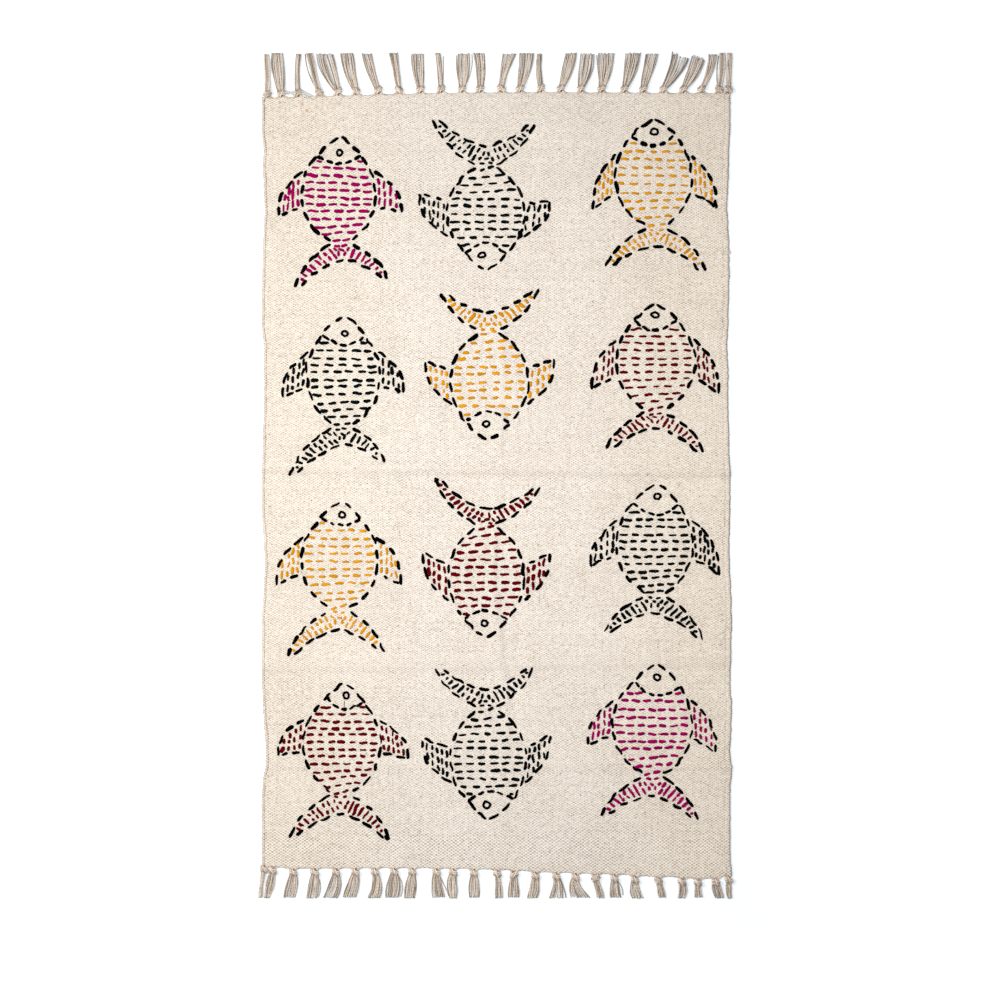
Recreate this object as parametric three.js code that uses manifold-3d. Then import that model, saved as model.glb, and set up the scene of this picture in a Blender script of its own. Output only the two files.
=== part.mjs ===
// A hand-woven cotton kantha rug lying flat, with its fringe tied in tassels along both ends.
// Millimetres, +Z up. The origin is at floor level under the middle of the rug: +X runs across the
// rug and +Y along it. The woven panel is one sheet whose fold creases stand up as soft ridges.
import * as THREE from "three";
import { mergeVertices } from "three/addons/utils/BufferGeometryUtils.js";
import Module from "manifold-3d";

const wasm = await Module();
wasm.setup();

// Driving sizes.
const CLOTH_THICKNESS = 3;
const RUG_WIDTH = 700;
const FRINGE_REACH = 632; // from the middle of the rug to the line where the tassels are trimmed
const FIT_GAP = 0.3; // between a knot and the cloth that its yarns come out of
const SCALLOP_DEPTH = 2; // how far the woven end draws back between two knots
const END_ROW_INSET = 26; // from a woven end to the first row of the sheet inside it

// A tassel's knot is pressed a little flat by the floor and by the cloth's edge. It is wider where
// it holds more locks.
const KNOT = { width: 10, perLock: 0.5, length: 10.5, height: 7.5, pressed: 0.5 };

// The locks of a tassel: their size, how many, and how closely they leave the knot.
const LOCK = { width: 2.9, height: 2.3, tipPitch: 4.2, rootPitch: 1.7, fewest: 2, most: 6 };
const LOCK_LENGTH_STEP = 1; // every other lock is this much shorter

// Along a lock, from inside the knot to the tip: the shares of its length, of its way aside and of
// its thickness, and how high it lies above the floor.
const LOCK_STATIONS = [
  { along: 0.1, aside: 0, thickness: 0.5, lift: 2 },
  { along: 0.22, aside: 0.1, thickness: 0.62, lift: 1 },
  { along: 0.45, aside: 0.38, thickness: 0.85, lift: 0 },
  { along: 1, aside: 1, thickness: 1, lift: 0 },
];
const LOCK_SHARE_OF_PITCH = 0.75;

// The two long edges, by place along the rug.
const SELVEDGES = [
  { y: -590, left: -351, right: 352 },
  { y: -515, left: -351.5, right: 350 },
  { y: -411, left: -345, right: 351 },
  { y: -246, left: -351, right: 351 },
  { y: -126, left: -345.5, right: 349.5 },
  { y: -7, left: -351.5, right: 350 },
  { y: 173, left: -349, right: 345 },
  { y: 412, left: -347.5, right: 344.5 },
  { y: 574, left: -350.5, right: 349.5 },
];

// The two woven ends, by place across the rug.
const WOVEN_ENDS = [
  { x: -350, bottom: -584, top: 566 },
  { x: -310, bottom: -590, top: 568 },
  { x: -230, bottom: -589.5, top: 570.5 },
  { x: -150, bottom: -589, top: 573 },
  { x: -70, bottom: -589.5, top: 574.5 },
  { x: 0, bottom: -591.5, top: 575 },
  { x: 80, bottom: -595.5, top: 575.5 },
  { x: 160, bottom: -598, top: 575 },
  { x: 240, bottom: -602, top: 574.5 },
  { x: 315, bottom: -605, top: 574 },
  { x: 350, bottom: -600, top: 573 },
];

// Creases across the rug, where it was folded in eighths. Each eases out over its two slopes, and
// drops a little from the left edge to the right one.
const CROSS_CREASES = [
  { y: -433, rise: 0.9, above: 20, below: 14, drop: 4, steps: [-1, 0, 1] },
  { y: -283, rise: 1.8, above: 26, below: 14, drop: -8, steps: [-1, -0.45, 0, 0.45, 1] },
  { y: -138, rise: 0.9, above: 20, below: 14, drop: 6, steps: [-1, 0, 1] },
  { y: 7, rise: 3, above: 30, below: 10, drop: 6, steps: [-1, -0.45, 0, 0.45, 1] },
  { y: 150, rise: 0.9, above: 20, below: 14, drop: 0, steps: [-1, 0, 1] },
  { y: 301, rise: 1.2, above: 22, below: 14, drop: -6, steps: [-1, 0, 1] },
  { y: 448, rise: 0.8, above: 20, below: 14, drop: 0, steps: [-1, 0, 1] },
];

// The crease along the middle, in line with the middle knots: how high it stands, and how far the
// warp drifts aside with it.
const MIDDLE_KNOT = 12;
const LONG_CREASE = [
  { y: -480, rise: 0, drift: 12 },
  { y: -370, rise: 1.4, drift: 7 },
  { y: -150, rise: 1.5, drift: -12 },
  { y: 10, rise: 1.1, drift: -3 },
  { y: 180, rise: 1.3, drift: 1 },
  { y: 290, rise: 0, drift: 0 },
];

// Tassels from left to right: the place of the knot, the spread of the tips, and how far the tips
// end short of the trimmed line.
const TOP_TASSELS = [
  { knot: -343, left: -349, right: -340, short: 2 },
  { knot: -322, left: -338, right: -319, short: 0 },
  { knot: -297, left: -301, right: -292, short: 1 },
  { knot: -265, left: -286, right: -273, short: 0 },
  { knot: -237, left: -270, right: -242, short: 1 },
  { knot: -210, left: -234, right: -213, short: 0 },
  { knot: -177, left: -203, right: -185, short: 1 },
  { knot: -146, left: -162, right: -147, short: 0 },
  { knot: -114, left: -129, right: -108, short: 1 },
  { knot: -83, left: -93, right: -83, short: 0 },
  { knot: -52, left: -59, right: -40, short: 1 },
  { knot: -25, left: -37, right: -17, short: 0 },
  { knot: 7, left: 9, right: 31, short: 1 },
  { knot: 35, left: 33, right: 57, short: 0 },
  { knot: 66, left: 59, right: 68, short: 1 },
  { knot: 96, left: 101, right: 122, short: 0 },
  { knot: 126, left: 126, right: 147, short: 1 },
  { knot: 157, left: 151, right: 177, short: 0 },
  { knot: 191, left: 192, right: 216, short: 0 },
  { knot: 219, left: 222, right: 243, short: 1 },
  { knot: 249, left: 261, right: 288, short: 4 },
  { knot: 279, left: 291, right: 312, short: 7 },
  { knot: 306, left: 315, right: 330, short: 2 },
  { knot: 333, left: 333, right: 340, short: 0 },
  { knot: 347, left: 343, right: 352, short: 0 },
];
const BOTTOM_TASSELS = [
  { knot: -348, left: -359, right: -352, short: 1 },
  { knot: -335, left: -350, right: -339, short: 0 },
  { knot: -304, left: -319, right: -301, short: 1 },
  { knot: -272, left: -286, right: -268, short: 0 },
  { knot: -240, left: -261, right: -236, short: 0 },
  { knot: -211, left: -231, right: -209, short: 1 },
  { knot: -182, left: -195, right: -174, short: 0 },
  { knot: -153, left: -167, right: -146, short: 1 },
  { knot: -126, left: -140, right: -120, short: 0 },
  { knot: -90, left: -96, right: -76, short: 1 },
  { knot: -65, left: -71, right: -59, short: 0 },
  { knot: -34, left: -43, right: -25, short: 1 },
  { knot: 1, left: -4, right: 11, short: 0 },
  { knot: 26, left: 16, right: 35, short: 1 },
  { knot: 58, left: 44, right: 62, short: 0 },
  { knot: 89, left: 77, right: 104, short: 0 },
  { knot: 118, left: 111, right: 141, short: 1 },
  { knot: 148, left: 150, right: 163, short: 0 },
  { knot: 176, left: 167, right: 188, short: 1 },
  { knot: 207, left: 201, right: 221, short: 0 },
  { knot: 242, left: 242, right: 254, short: 1 },
  { knot: 277, left: 270, right: 283, short: 0 },
  { knot: 301, left: 295, right: 310, short: 1 },
  { knot: 328, left: 327, right: 341, short: 0 },
  { knot: 347, left: 345, right: 353, short: 0 },
];

const COTTON = new THREE.MeshStandardMaterial({ color: "#efe5d8", roughness: 0.95, metalness: 0 });
const YARN = new THREE.MeshStandardMaterial({ color: "#bfb3a9", roughness: 0.95, metalness: 0 });

const smooth = (share) => THREE.MathUtils.smoothstep(share, 0, 1);
const straight = (share) => THREE.MathUtils.clamp(share, 0, 1);

// Reads one column of a table at a place between its rows, and holds the end rows past the ends.
function readTable(table, key, place, column, ease = smooth) {
  const last = table.length - 1;
  const next = table.findIndex((row, i) => i > 0 && (i === last || row[key] >= place));
  const low = table[next - 1];
  const high = table[next];
  const share = ease((place - low[key]) / (high[key] - low[key]));
  return THREE.MathUtils.lerp(low[column], high[column], share);
}

// The columns of the sheet: both selvedges, each knot, and a point midway between two knots, which
// draws back a little. Each holds its place across the bottom end and across the top end.
function sheetColumns() {
  const bottomRow = SELVEDGES[0];
  const topRow = SELVEDGES[SELVEDGES.length - 1];
  const columns = [{ bottom: bottomRow.left, top: topRow.left, drawn: 0 }];
  TOP_TASSELS.forEach((tassel, i) => {
    if (i > 0) {
      columns.push({
        bottom: (BOTTOM_TASSELS[i - 1].knot + BOTTOM_TASSELS[i].knot) / 2,
        top: (TOP_TASSELS[i - 1].knot + tassel.knot) / 2,
        drawn: SCALLOP_DEPTH,
      });
    }
    columns.push({ bottom: BOTTOM_TASSELS[i].knot, top: tassel.knot, drawn: 0 });
  });
  columns.push({ bottom: bottomRow.right, top: topRow.right, drawn: 0 });
  return columns;
}
const COLUMNS = sheetColumns();

// A woven end's outline, as one point for each column of the sheet.
function endOutline(end) {
  const inward = end === "top" ? -1 : 1;
  return COLUMNS.map((column) => {
    const x = column[end];
    return { x, y: readTable(WOVEN_ENDS, "x", x, end) + inward * column.drawn };
  });
}
const OUTLINES = { top: endOutline("top"), bottom: endOutline("bottom") };

// The rows of the sheet from end to end: the woven ends, a row just inside each, and the steps of
// each crease.
function sheetRows() {
  const creaseRows = CROSS_CREASES.flatMap((crease) =>
    crease.steps.map((step) => {
      const slope = step > 0 ? crease.above : crease.below;
      return { y: crease.y + step * slope, drop: crease.drop };
    }),
  );
  const insideBottom = { y: WOVEN_ENDS[0].bottom + END_ROW_INSET, drop: 0 };
  const insideTop = { y: WOVEN_ENDS[0].top - END_ROW_INSET, drop: 0 };
  return [{ end: "bottom" }, insideBottom, ...creaseRows, insideTop, { end: "top" }];
}
const ROWS = sheetRows();

// How high the underside stands at a point: the highest crease there, or the floor.
function creaseRise(point, onLongCrease) {
  const rises = CROSS_CREASES.map((crease) => {
    const away = point.y - (crease.y - (crease.drop * point.x) / RUG_WIDTH);
    const slope = away > 0 ? crease.above : crease.below;
    return crease.rise * (1 - smooth(Math.abs(away) / slope));
  });
  const longRise = onLongCrease ? readTable(LONG_CREASE, "y", point.y, "rise") : 0;
  return Math.max(longRise, ...rises);
}

// Where a column meets a row, seen from above. A column runs straight from end to end, but for the
// bends of the nearer selvedge and the drift of the crease along the middle.
function sheetPoint(columnIndex, row) {
  if (row.end) {
    return OUTLINES[row.end][columnIndex];
  }
  const along = THREE.MathUtils.inverseLerp(-FRINGE_REACH, FRINGE_REACH, row.y);
  const straightX = (column) => THREE.MathUtils.lerp(column.bottom, column.top, along);
  const x = straightX(COLUMNS[columnIndex]);
  const side = x < 0 ? "left" : "right";
  const sideShare = x / straightX(side === "left" ? COLUMNS[0] : COLUMNS[COLUMNS.length - 1]);
  const drift = readTable(LONG_CREASE, "y", row.y, "drift") * (1 - sideShare) ** 2;
  const bentX = sideShare * readTable(SELVEDGES, "y", row.y, side) + drift;
  return { x: bentX, y: row.y - (row.drop * bentX) / RUG_WIDTH };
}

// The woven panel: one sheet of even thickness that lies on the floor between its creases.
function wovenPanel() {
  const acrossSteps = COLUMNS.length - 1;
  const alongSteps = ROWS.length - 1;
  const creaseColumn = 1 + 2 * MIDDLE_KNOT;
  const sheet = new THREE.BoxGeometry(1, 1, 1, acrossSteps, alongSteps, 1);
  const place = sheet.getAttribute("position");
  for (let i = 0; i < place.count; i++) {
    const columnIndex = Math.round((place.getX(i) + 0.5) * acrossSteps);
    const row = ROWS[Math.round((place.getY(i) + 0.5) * alongSteps)];
    const point = sheetPoint(columnIndex, row);
    const underside = creaseRise(point, columnIndex === creaseColumn);
    place.setXYZ(i, point.x, point.y, underside + (place.getZ(i) > 0 ? CLOTH_THICKNESS : 0));
  }
  sheet.computeVertexNormals();
  const panel = new THREE.Mesh(sheet, COTTON);
  panel.name = "woven_panel";
  return panel;
}

// A closed solid from a geometry whose corners are shared.
function solidOf(geometry) {
  geometry.deleteAttribute("normal");
  geometry.deleteAttribute("uv");
  const merged = mergeVertices(geometry);
  const vertProperties = new Float32Array(merged.getAttribute("position").array);
  const triVerts = new Uint32Array(merged.getIndex().array);
  return new wasm.Manifold(new wasm.Mesh({ numProp: 3, vertProperties, triVerts }));
}

// A geometry from a closed solid.
function geometryOf(solid) {
  const mesh = solid.getMesh();
  const geometry = new THREE.BufferGeometry();
  geometry.setAttribute("position", new THREE.BufferAttribute(mesh.vertProperties, 3));
  geometry.setIndex(new THREE.BufferAttribute(mesh.triVerts, 1));
  geometry.computeVertexNormals();
  return geometry;
}

// A tassel's head: a rounded knot with a flat where it lies on the floor and one at the cloth.
function knotSolid(width) {
  const knot = new THREE.SphereGeometry(0.5, 8, 4);
  const place = knot.getAttribute("position");
  for (let i = 0; i < place.count; i++) {
    const y = (place.getY(i) + 0.5) * KNOT.length - KNOT.pressed;
    const z = (place.getZ(i) + 0.5) * KNOT.height - KNOT.pressed;
    place.setXYZ(i, place.getX(i) * width, Math.max(y, 0) + FIT_GAP, Math.max(z, 0));
  }
  return solidOf(knot);
}

// A lock of yarns: a three-sided bar with its flat side down, drawn through its stations.
function lockSolid(stations) {
  const corners = [];
  const faces = [];
  for (const { x, y, z, width, height } of stations) {
    corners.push(x - width / 2, y, z, x + width / 2, y, z, x, y, z + height);
  }
  for (let step = 0; step < stations.length - 1; step++) {
    for (let side = 0; side < 3; side++) {
      const here = step * 3 + side;
      const beside = step * 3 + ((side + 1) % 3);
      faces.push(here, here + 3, beside, beside, here + 3, beside + 3);
    }
  }
  const tip = (stations.length - 1) * 3;
  faces.push(0, 1, 2, tip, tip + 2, tip + 1);
  const bar = new THREE.BufferGeometry();
  bar.setAttribute("position", new THREE.Float32BufferAttribute(corners, 3));
  bar.setIndex(faces);
  return solidOf(bar);
}

// One lock of a tassel, from inside its knot down to the floor and out to its tip. The places are
// the tassel's own: x across it from the knot, y outward from the cloth.
function tasselLock(index, count, tips, length) {
  const rootX = (index - (count - 1) / 2) * LOCK.rootPitch;
  const tipX = THREE.MathUtils.lerp(tips.left, tips.right, (index + 0.5) / count);
  const tipY = length - (index % 2) * LOCK_LENGTH_STEP;
  const pitch = (tips.right - tips.left) / count;
  const width = Math.min(LOCK.width, pitch * LOCK_SHARE_OF_PITCH);
  return lockSolid(
    LOCK_STATIONS.map(({ along, aside, thickness, lift }) => ({
      x: THREE.MathUtils.lerp(rootX, tipX, aside),
      y: tipY * along,
      z: lift,
      width: width * thickness,
      height: LOCK.height * thickness,
    })),
  );
}

// A tassel of one woven end: the knot, and its locks fused into it at their roots.
function tassel(row, end, name) {
  const outward = end === "top" ? 1 : -1;
  const wanted = Math.round((row.right - row.left) / LOCK.tipPitch);
  const locks = THREE.MathUtils.clamp(wanted, LOCK.fewest, LOCK.most);
  const knotWidth = KNOT.width + KNOT.perLock * (locks - LOCK.fewest);
  const edgeNear = [-0.5, 0, 0.5].map((share) => {
    return outward * readTable(OUTLINES[end], "x", row.knot + share * knotWidth, "y", straight);
  });
  const seat = Math.max(...edgeNear);
  const tipSides = [row.left, row.right].map((tip) => outward * (tip - row.knot));
  const tips = { left: Math.min(...tipSides), right: Math.max(...tipSides) };
  let solid = knotSolid(knotWidth);
  for (let i = 0; i < locks; i++) {
    solid = solid.add(tasselLock(i, locks, tips, FRINGE_REACH - row.short - seat));
  }
  const mesh = new THREE.Mesh(geometryOf(solid), YARN);
  mesh.name = name;
  mesh.position.set(row.knot, outward * seat, 0);
  mesh.rotation.z = end === "top" ? 0 : Math.PI; // each tassel is made pointing along +Y
  return mesh;
}

// The row of tassels along one woven end.
function fringe(rows, end) {
  const group = new THREE.Group();
  rows.forEach((row, i) => {
    const number = String(i + 1).padStart(2, "0");
    group.add(tassel(row, end, `tassel_${end}_${number}`));
  });
  return group;
}

const rug = new THREE.Group();
rug.add(wovenPanel(), fringe(TOP_TASSELS, "top"), fringe(BOTTOM_TASSELS, "bottom"));

export default rug;
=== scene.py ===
"""Dresses the solids of a flat kantha rug: cotton weave, stitched fish, fringe, floor, light."""

import math
from collections import namedtuple

import bpy
import numpy as np
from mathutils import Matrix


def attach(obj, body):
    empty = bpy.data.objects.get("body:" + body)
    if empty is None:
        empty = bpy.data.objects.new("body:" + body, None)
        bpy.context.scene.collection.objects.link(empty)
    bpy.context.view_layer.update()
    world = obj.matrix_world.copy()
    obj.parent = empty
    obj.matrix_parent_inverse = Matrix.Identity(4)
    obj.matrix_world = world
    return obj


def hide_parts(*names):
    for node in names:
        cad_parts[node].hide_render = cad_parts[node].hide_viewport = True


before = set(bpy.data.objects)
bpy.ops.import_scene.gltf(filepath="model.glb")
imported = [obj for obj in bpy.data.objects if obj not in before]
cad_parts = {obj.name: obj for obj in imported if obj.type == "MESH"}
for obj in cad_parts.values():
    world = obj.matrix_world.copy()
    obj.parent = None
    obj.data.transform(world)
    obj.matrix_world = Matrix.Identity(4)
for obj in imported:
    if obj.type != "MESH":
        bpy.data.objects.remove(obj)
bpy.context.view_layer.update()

bl_info = {
    "name": "Kantha rug",
    "version": (1, 0, 0),
    "blender": (4, 5, 0),
    "location": "3D View > Sidebar > Rug",
    "description": "Weaves, stitches and fringes a flat cotton rug around its packed solids",
    "category": "Object",
}

MM = 0.001
BODY = "root"
CLOTH_PIECE = "woven_rug_panel"
UPRIGHT = (0, 0, 1)
ALONG_RUG = (0, 1, 0)

# The cloth's plain rectangle in millimetres: its width, its lower end's y and its length.
RUG_WIDTH = 700
WOVEN_FOOT = -591
WOVEN_LENGTH = 1166
# How far in from a woven end the pull of its knots dies out, and how deep it draws the end in.
END_EASE = 16
END_SCALLOP = 2
# How far in from its rim the cloth rounds down.
RIM_ROUNDING = 1.6
# How far from the middle a drawn-in warp may start, and where a stray yarn may end.
WARP_LIMIT = 349
STRAY_LIMITS = (-358, 356)
# A fringe knot's length and the radius of its wraps, half the width where its yarns leave it, and
# half the width of a stray yarn.
KNOT_LENGTH = 7.5
KNOT_RADIUS = 5.7
KNOT_MOUTH = 4.3
STRAY_HALF = 0.8
# How far rows of coloured stitches keep from the outline, the spacing of a fin's columns and of
# the stitches along a tail lobe, and the width of the stitches round an eye.
SEWING_INSET = 3.5
FIN_COLUMN = 7.4
LOBE_STEP = 9.3
EYE_WIDTH = 3.8
# How often a yarn's plies turn in a metre.
PLY_TURNS = 190.0
# Where each kind of random draw starts. A fish or a tassel adds its own number.
SEEDS = {
    "panel": 11, "loose": 77, "fish": 100, "outline": 200, "filling": 300,
    "top": 1000, "bottom": 1050,
}
# How far a strand's tip reaches past its last ring, as a share of its half width, and how close to
# the floor a strand comes.
TIP_REACH = 0.45
FLOOR_GAP = 0.02
# Half the width and length, in metres, of the oblong by the rug where the floor's painted glow is
# dimmer.
DIM_HALF_WIDTH = 0.36
DIM_HALF_LENGTH = 0.64

# The cloth's outline in millimetres: a selvedge row is y, left, right.
SELVEDGES = (
    (-590, -351.4, 352.3),
    (-553, -351.4, 349.8),
    (-493, -351.4, 349.8),
    (-463, -350, 350),
    (-436, -345.5, 352.3),
    (-404, -345.5, 349.8),
    (-373, -348.5, 351),
    (-343, -350, 352.3),
    (-298, -351.4, 349.8),
    (-254, -351.4, 351),
    (-218, -351.4, 352.3),
    (-164, -348.5, 351),
    (-132, -346.5, 349),
    (-100, -348.5, 348.3),
    (-44, -351.4, 349.8),
    (-7, -351.4, 350),
    (46, -350, 348.3),
    (105, -348.5, 347),
    (165, -348.5, 346.8),
    (195, -348.5, 345.3),
    (232, -351.4, 346.8),
    (300, -350.7, 348.3),
    (345, -350, 348.3),
    (375, -348.5, 346.8),
    (405, -347, 345.3),
    (440, -348.5, 346.8),
    (464, -350, 347.5),
    (494, -348.5, 348.3),
    (526, -351.4, 349.8),
    (574, -351.4, 349.8),
)
# A row of the woven ends is x, bottom, top.
WOVEN_ENDS = (
    (-350, -584, 566),
    (-310, -590, 568),
    (-230, -589.5, 570.5),
    (-150, -589, 573),
    (-70, -589.5, 574.5),
    (0, -591.5, 575),
    (80, -595.5, 575.5),
    (160, -598, 575),
    (240, -602, 574.5),
    (315, -605, 574),
    (350, -600, 573),
)
# A crease across the rug is y, rise, slope above, slope below, drop from left to right.
CROSS_CREASES = (
    (-433, 0.9, 20, 14, 4),
    (-283, 1.3, 26, 14, -8),
    (-138, 0.9, 20, 14, 6),
    (7, 3, 30, 10, 6),
    (150, 0.9, 20, 14, 0),
    (301, 1.2, 22, 14, -6),
    (448, 0.8, 20, 14, 0),
)
# The long crease's stations are y, rise, drift to the right of its middle column.
LONG_CREASE = (
    (-480, 0, 12),
    (-370, 1.4, 7),
    (-150, 1.5, -12),
    (10, 1.1, -3),
    (180, 1.3, 1),
    (290, 0, 0),
)
LONG_CREASE_X = 7
LONG_CREASE_SLOPE = 11
# A slow wave of the cloth is its height, its turns in radians a millimetre across and along the
# rug, and where it starts.
SLOW_WAVES = (
    (0.10, 0.021, 0.013, 0.4),
    (0.09, -0.031, 0.018, 1.9),
    (0.07, 0.012, -0.043, 3.1),
    (0.06, 0.052, 0.037, 5.0),
    (0.05, -0.068, 0.071, 2.2),
)
# The wefts are beaten unevenly: y, and the spacing there as a share of the weft pitch.
WEFT_SPACING = (
    (-610, 1.2),
    (-560, 1.16),
    (-490, 1.03),
    (-250, 0.95),
    (0, 0.97),
    (250, 1.01),
    (450, 1.02),
    (545, 0.9),
    (580, 0.87),
)

# A tassel is its knot's x, its left and right x halfway along, its tips' left and right x, and how
# short of the fringe line it ends.
Tassel = namedtuple("Tassel", "knot half_left half_right tip_left tip_right short")
TASSELS = {
    "top": (
        (-343, -349, -337, -349, -340, 2), (-322, -336, -316, -338, -319, 0),
        (-297, -303, -294, -301, -292, 1), (-265, -279, -267, -286, -273, 0),
        (-237, -261, -236, -270, -242, 1), (-210, -228, -210, -234, -213, 0),
        (-177, -194, -179, -203, -185, 1), (-146, -156, -144, -162, -147, 0),
        (-114, -126, -108, -129, -108, 1), (-83, -90, -80, -93, -83, 0),
        (-52, -58, -41, -59, -40, 1), (-25, -31, -17, -37, -17, 0), (7, 5, 19, 9, 31, 1),
        (35, 31, 52, 33, 57, 0), (66, 58, 68, 59, 68, 1), (96, 96, 116, 101, 122, 0),
        (126, 123, 143, 126, 147, 1), (157, 152, 173, 151, 177, 0), (191, 189, 210, 192, 216, 0),
        (219, 218, 234, 222, 243, 1), (249, 255, 276, 261, 288, 4), (279, 283, 303, 291, 312, 7),
        (306, 312, 324, 315, 330, 2), (333, 332, 343, 333, 344, 0), (347, 343, 352, 344, 353, 0),
    ),
    "bottom": (
        (-348, -355, -348, -357, -350, 1), (-335, -346, -331, -348, -339, 0),
        (-304, -315, -297, -319, -301, 1), (-272, -283, -264, -286, -268, 0),
        (-240, -252, -231, -261, -236, 0), (-211, -225, -204, -231, -209, 1),
        (-182, -188, -171, -195, -174, 0), (-153, -165, -143, -167, -146, 1),
        (-126, -137, -119, -140, -120, 0), (-90, -98, -80, -96, -76, 1),
        (-65, -76, -58, -71, -59, 0), (-34, -43, -25, -43, -25, 1), (1, -4, 10, -4, 11, 0),
        (26, 17, 34, 16, 35, 1), (58, 49, 64, 44, 62, 0), (89, 83, 101, 77, 104, 0),
        (118, 108, 128, 111, 141, 1), (148, 146, 159, 150, 163, 0), (176, 168, 185, 167, 188, 1),
        (207, 198, 215, 201, 221, 0), (242, 239, 251, 242, 254, 1), (277, 271, 286, 270, 283, 0),
        (301, 295, 307, 295, 310, 1), (328, 322, 339, 327, 341, 0), (347, 342, 352, 345, 353, 0),
    ),
}

# The yellow stain at the top left is a few spots: x, y and radius in millimetres, and strength.
STAINS = (
    (-283.4, 545.5, 3.3, 0.75),
    (-268.5, 551.5, 2.4, 0.45),
    (-282.0, 538.5, 1.6, 0.5),
    (-289.0, 563.0, 1.9, 0.35),
    (-275.0, 563.5, 2.4, 0.35),
    (-282.5, 553.0, 1.8, 0.3),
)

# Weft threads that have come loose, as places along each: one loop, and a tuft of frayed ends.
LOOSE_WEFTS = (
    ((336, 334), (342, 334.6), (348.2, 335), (349.6, 333.2), (348, 331.6), (342, 331),
     (336, 331.6)),
    ((-322, 571), (-317, 573.5), (-310, 573), (-303, 568)),
    ((-318, 570), (-311, 571), (-304, 574), (-296, 573)),
    ((-299, 577), (-290, 575), (-282, 571), (-273, 566)),
    ((-297, 574), (-288, 571.5), (-279, 568), (-270, 566)),
    ((-295, 571), (-287, 569), (-280, 565), (-274, 562)),
)

# A fish is its name, thread, which way its head points (1 for up), its nose's x and y, and then
# sizes measured from the nose as (aside, towards the tail): eye, left and right cheek, the gill
# line's lowest point, the body's left and right half widths and their place, the waist, the left
# and right fin tips, the left and right tail tips, and the notch of the tail.
Fish = namedtuple(
    "Fish",
    "name thread head_up nose eye cheek_l cheek_r gill sides waist fin_l fin_r tail_l tail_r notch",
)
FISH = (
    ("fish_1_1", "magenta_thread", 1, (-235, 506), (0, 23), (-34, 28), (33, 28), 40,
     (-57, 54, 87), (3, 156), (-91, 116), (92, 110), (-68, 227), (73, 214), (7, 182)),
    ("fish_1_2", "dark_green_thread", -1, (-15, 307), (-7, 23), (-32, 25), (30, 25), 42,
     (-59, 57, 83), (-1, 154), (-100, 112), (95, 100), (-81, 227), (73, 221), (2, 184)),
    ("fish_1_3", "mustard_thread", 1, (235, 533), (1, 19), (-34, 25), (32, 23), 41,
     (-58, 57, 91), (5, 160), (-90, 133), (93, 130), (-72, 221), (79, 230), (6, 188)),
    ("fish_2_1", "dark_green_thread", 1, (-226, 238), (-1, 26), (-36, 27), (30, 29), 44,
     (-58, 51, 77), (-6, 163), (-93, 118), (87, 111), (-83, 239), (59, 218), (0, 190)),
    ("fish_2_2", "mustard_thread", -1, (-12, 53), (-4, 24), (-35, 28), (32, 24), 43,
     (-57, 60, 87), (-1, 161), (-94, 114), (98, 120), (-71, 221), (76, 227), (-2, 189)),
    ("fish_2_3", "dark_red_thread", 1, (237, 257), (0, 17), (-32, 25), (34, 23), 41,
     (-58, 60, 86), (0, 159), (-94, 125), (95, 132), (-73, 217), (73, 224), (2, 185)),
    ("fish_3_1", "mustard_thread", 1, (-232, -39), (1, 20), (-31, 24), (29, 26), 36,
     (-60, 54, 87), (-4, 160), (-96, 122), (89, 122), (-81, 232), (64, 225), (-4, 190)),
    ("fish_3_2", "dark_red_thread", -1, (-16, -242), (-2, 21), (-33, 27), (32, 26), 40,
     (-56, 58, 85), (0, 165), (-93, 124), (95, 123), (-76, 239), (82, 226), (0, 190)),
    ("fish_3_3", "dark_green_thread", 1, (240, -12), (0, 19), (-37, 29), (33, 32), 47,
     (-61, 53, 91), (-3, 165), (-99, 122), (92, 134), (-80, 225), (69, 234), (-6, 192)),
    ("fish_4_1", "dark_red_thread", 1, (-228, -311), (3, 18), (-26, 20), (30, 28), 39,
     (-61, 54, 87), (-5, 164), (-99, 105), (95, 110), (-82, 232), (68, 234), (-5, 194)),
    ("fish_4_2", "dark_green_thread", -1, (-13, -515), (-2, 22), (-29, 28), (38, 31), 43,
     (-56, 57, 92), (-3, 165), (-98, 119), (92, 125), (-79, 230), (68, 230), (-3, 193)),
    ("fish_4_3", "magenta_thread", 1, (239, -282), (1, 20), (-33, 26), (36, 34), 48,
     (-66, 53, 91), (-6, 165), (-102, 118), (89, 130), (-84, 228), (63, 235), (-6, 196)),
)
# How each fish is sewn, in millimetres: the spacing of the body's rows; a coloured stitch's length,
# gap and width; the eye's half width and half height; and how heavy the black outline is, as a
# share of the outline's width.
Sewing = namedtuple("Sewing", "row_step length gap width eye weight")
SEWING = {
    "fish_1_1": (11.2, 15.2, 3.3, 4.5, (4.0, 5.0), 1.06),
    "fish_1_2": (12.0, 13.2, 6.4, 4.3, (5.9, 4.1), 0.88),
    "fish_1_3": (12.4, 11.6, 6.4, 3.8, (5.7, 4.9), 1.0),
    "fish_2_1": (11.2, 13.2, 6.4, 4.5, (5.2, 4.2), 0.92),
    "fish_2_2": (11.7, 11.8, 7.4, 4.3, (5.3, 4.9), 0.97),
    "fish_2_3": (11.2, 12.2, 7.0, 3.8, (6.6, 4.5), 1.0),
    "fish_3_1": (11.5, 11.8, 5.8, 3.7, (5.7, 5.0), 0.94),
    "fish_3_2": (11.0, 14.0, 4.8, 4.8, (5.3, 4.7), 0.93),
    "fish_3_3": (11.2, 12.2, 4.6, 4.5, (5.4, 4.8), 0.86),
    "fish_4_1": (10.4, 11.2, 5.3, 4.3, (4.8, 5.1), 0.92),
    "fish_4_2": (11.2, 12.2, 5.4, 4.5, (5.8, 5.6), 0.86),
    "fish_4_3": (11.6, 12.6, 3.2, 4.5, (6.0, 5.5), 0.86),
}
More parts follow.
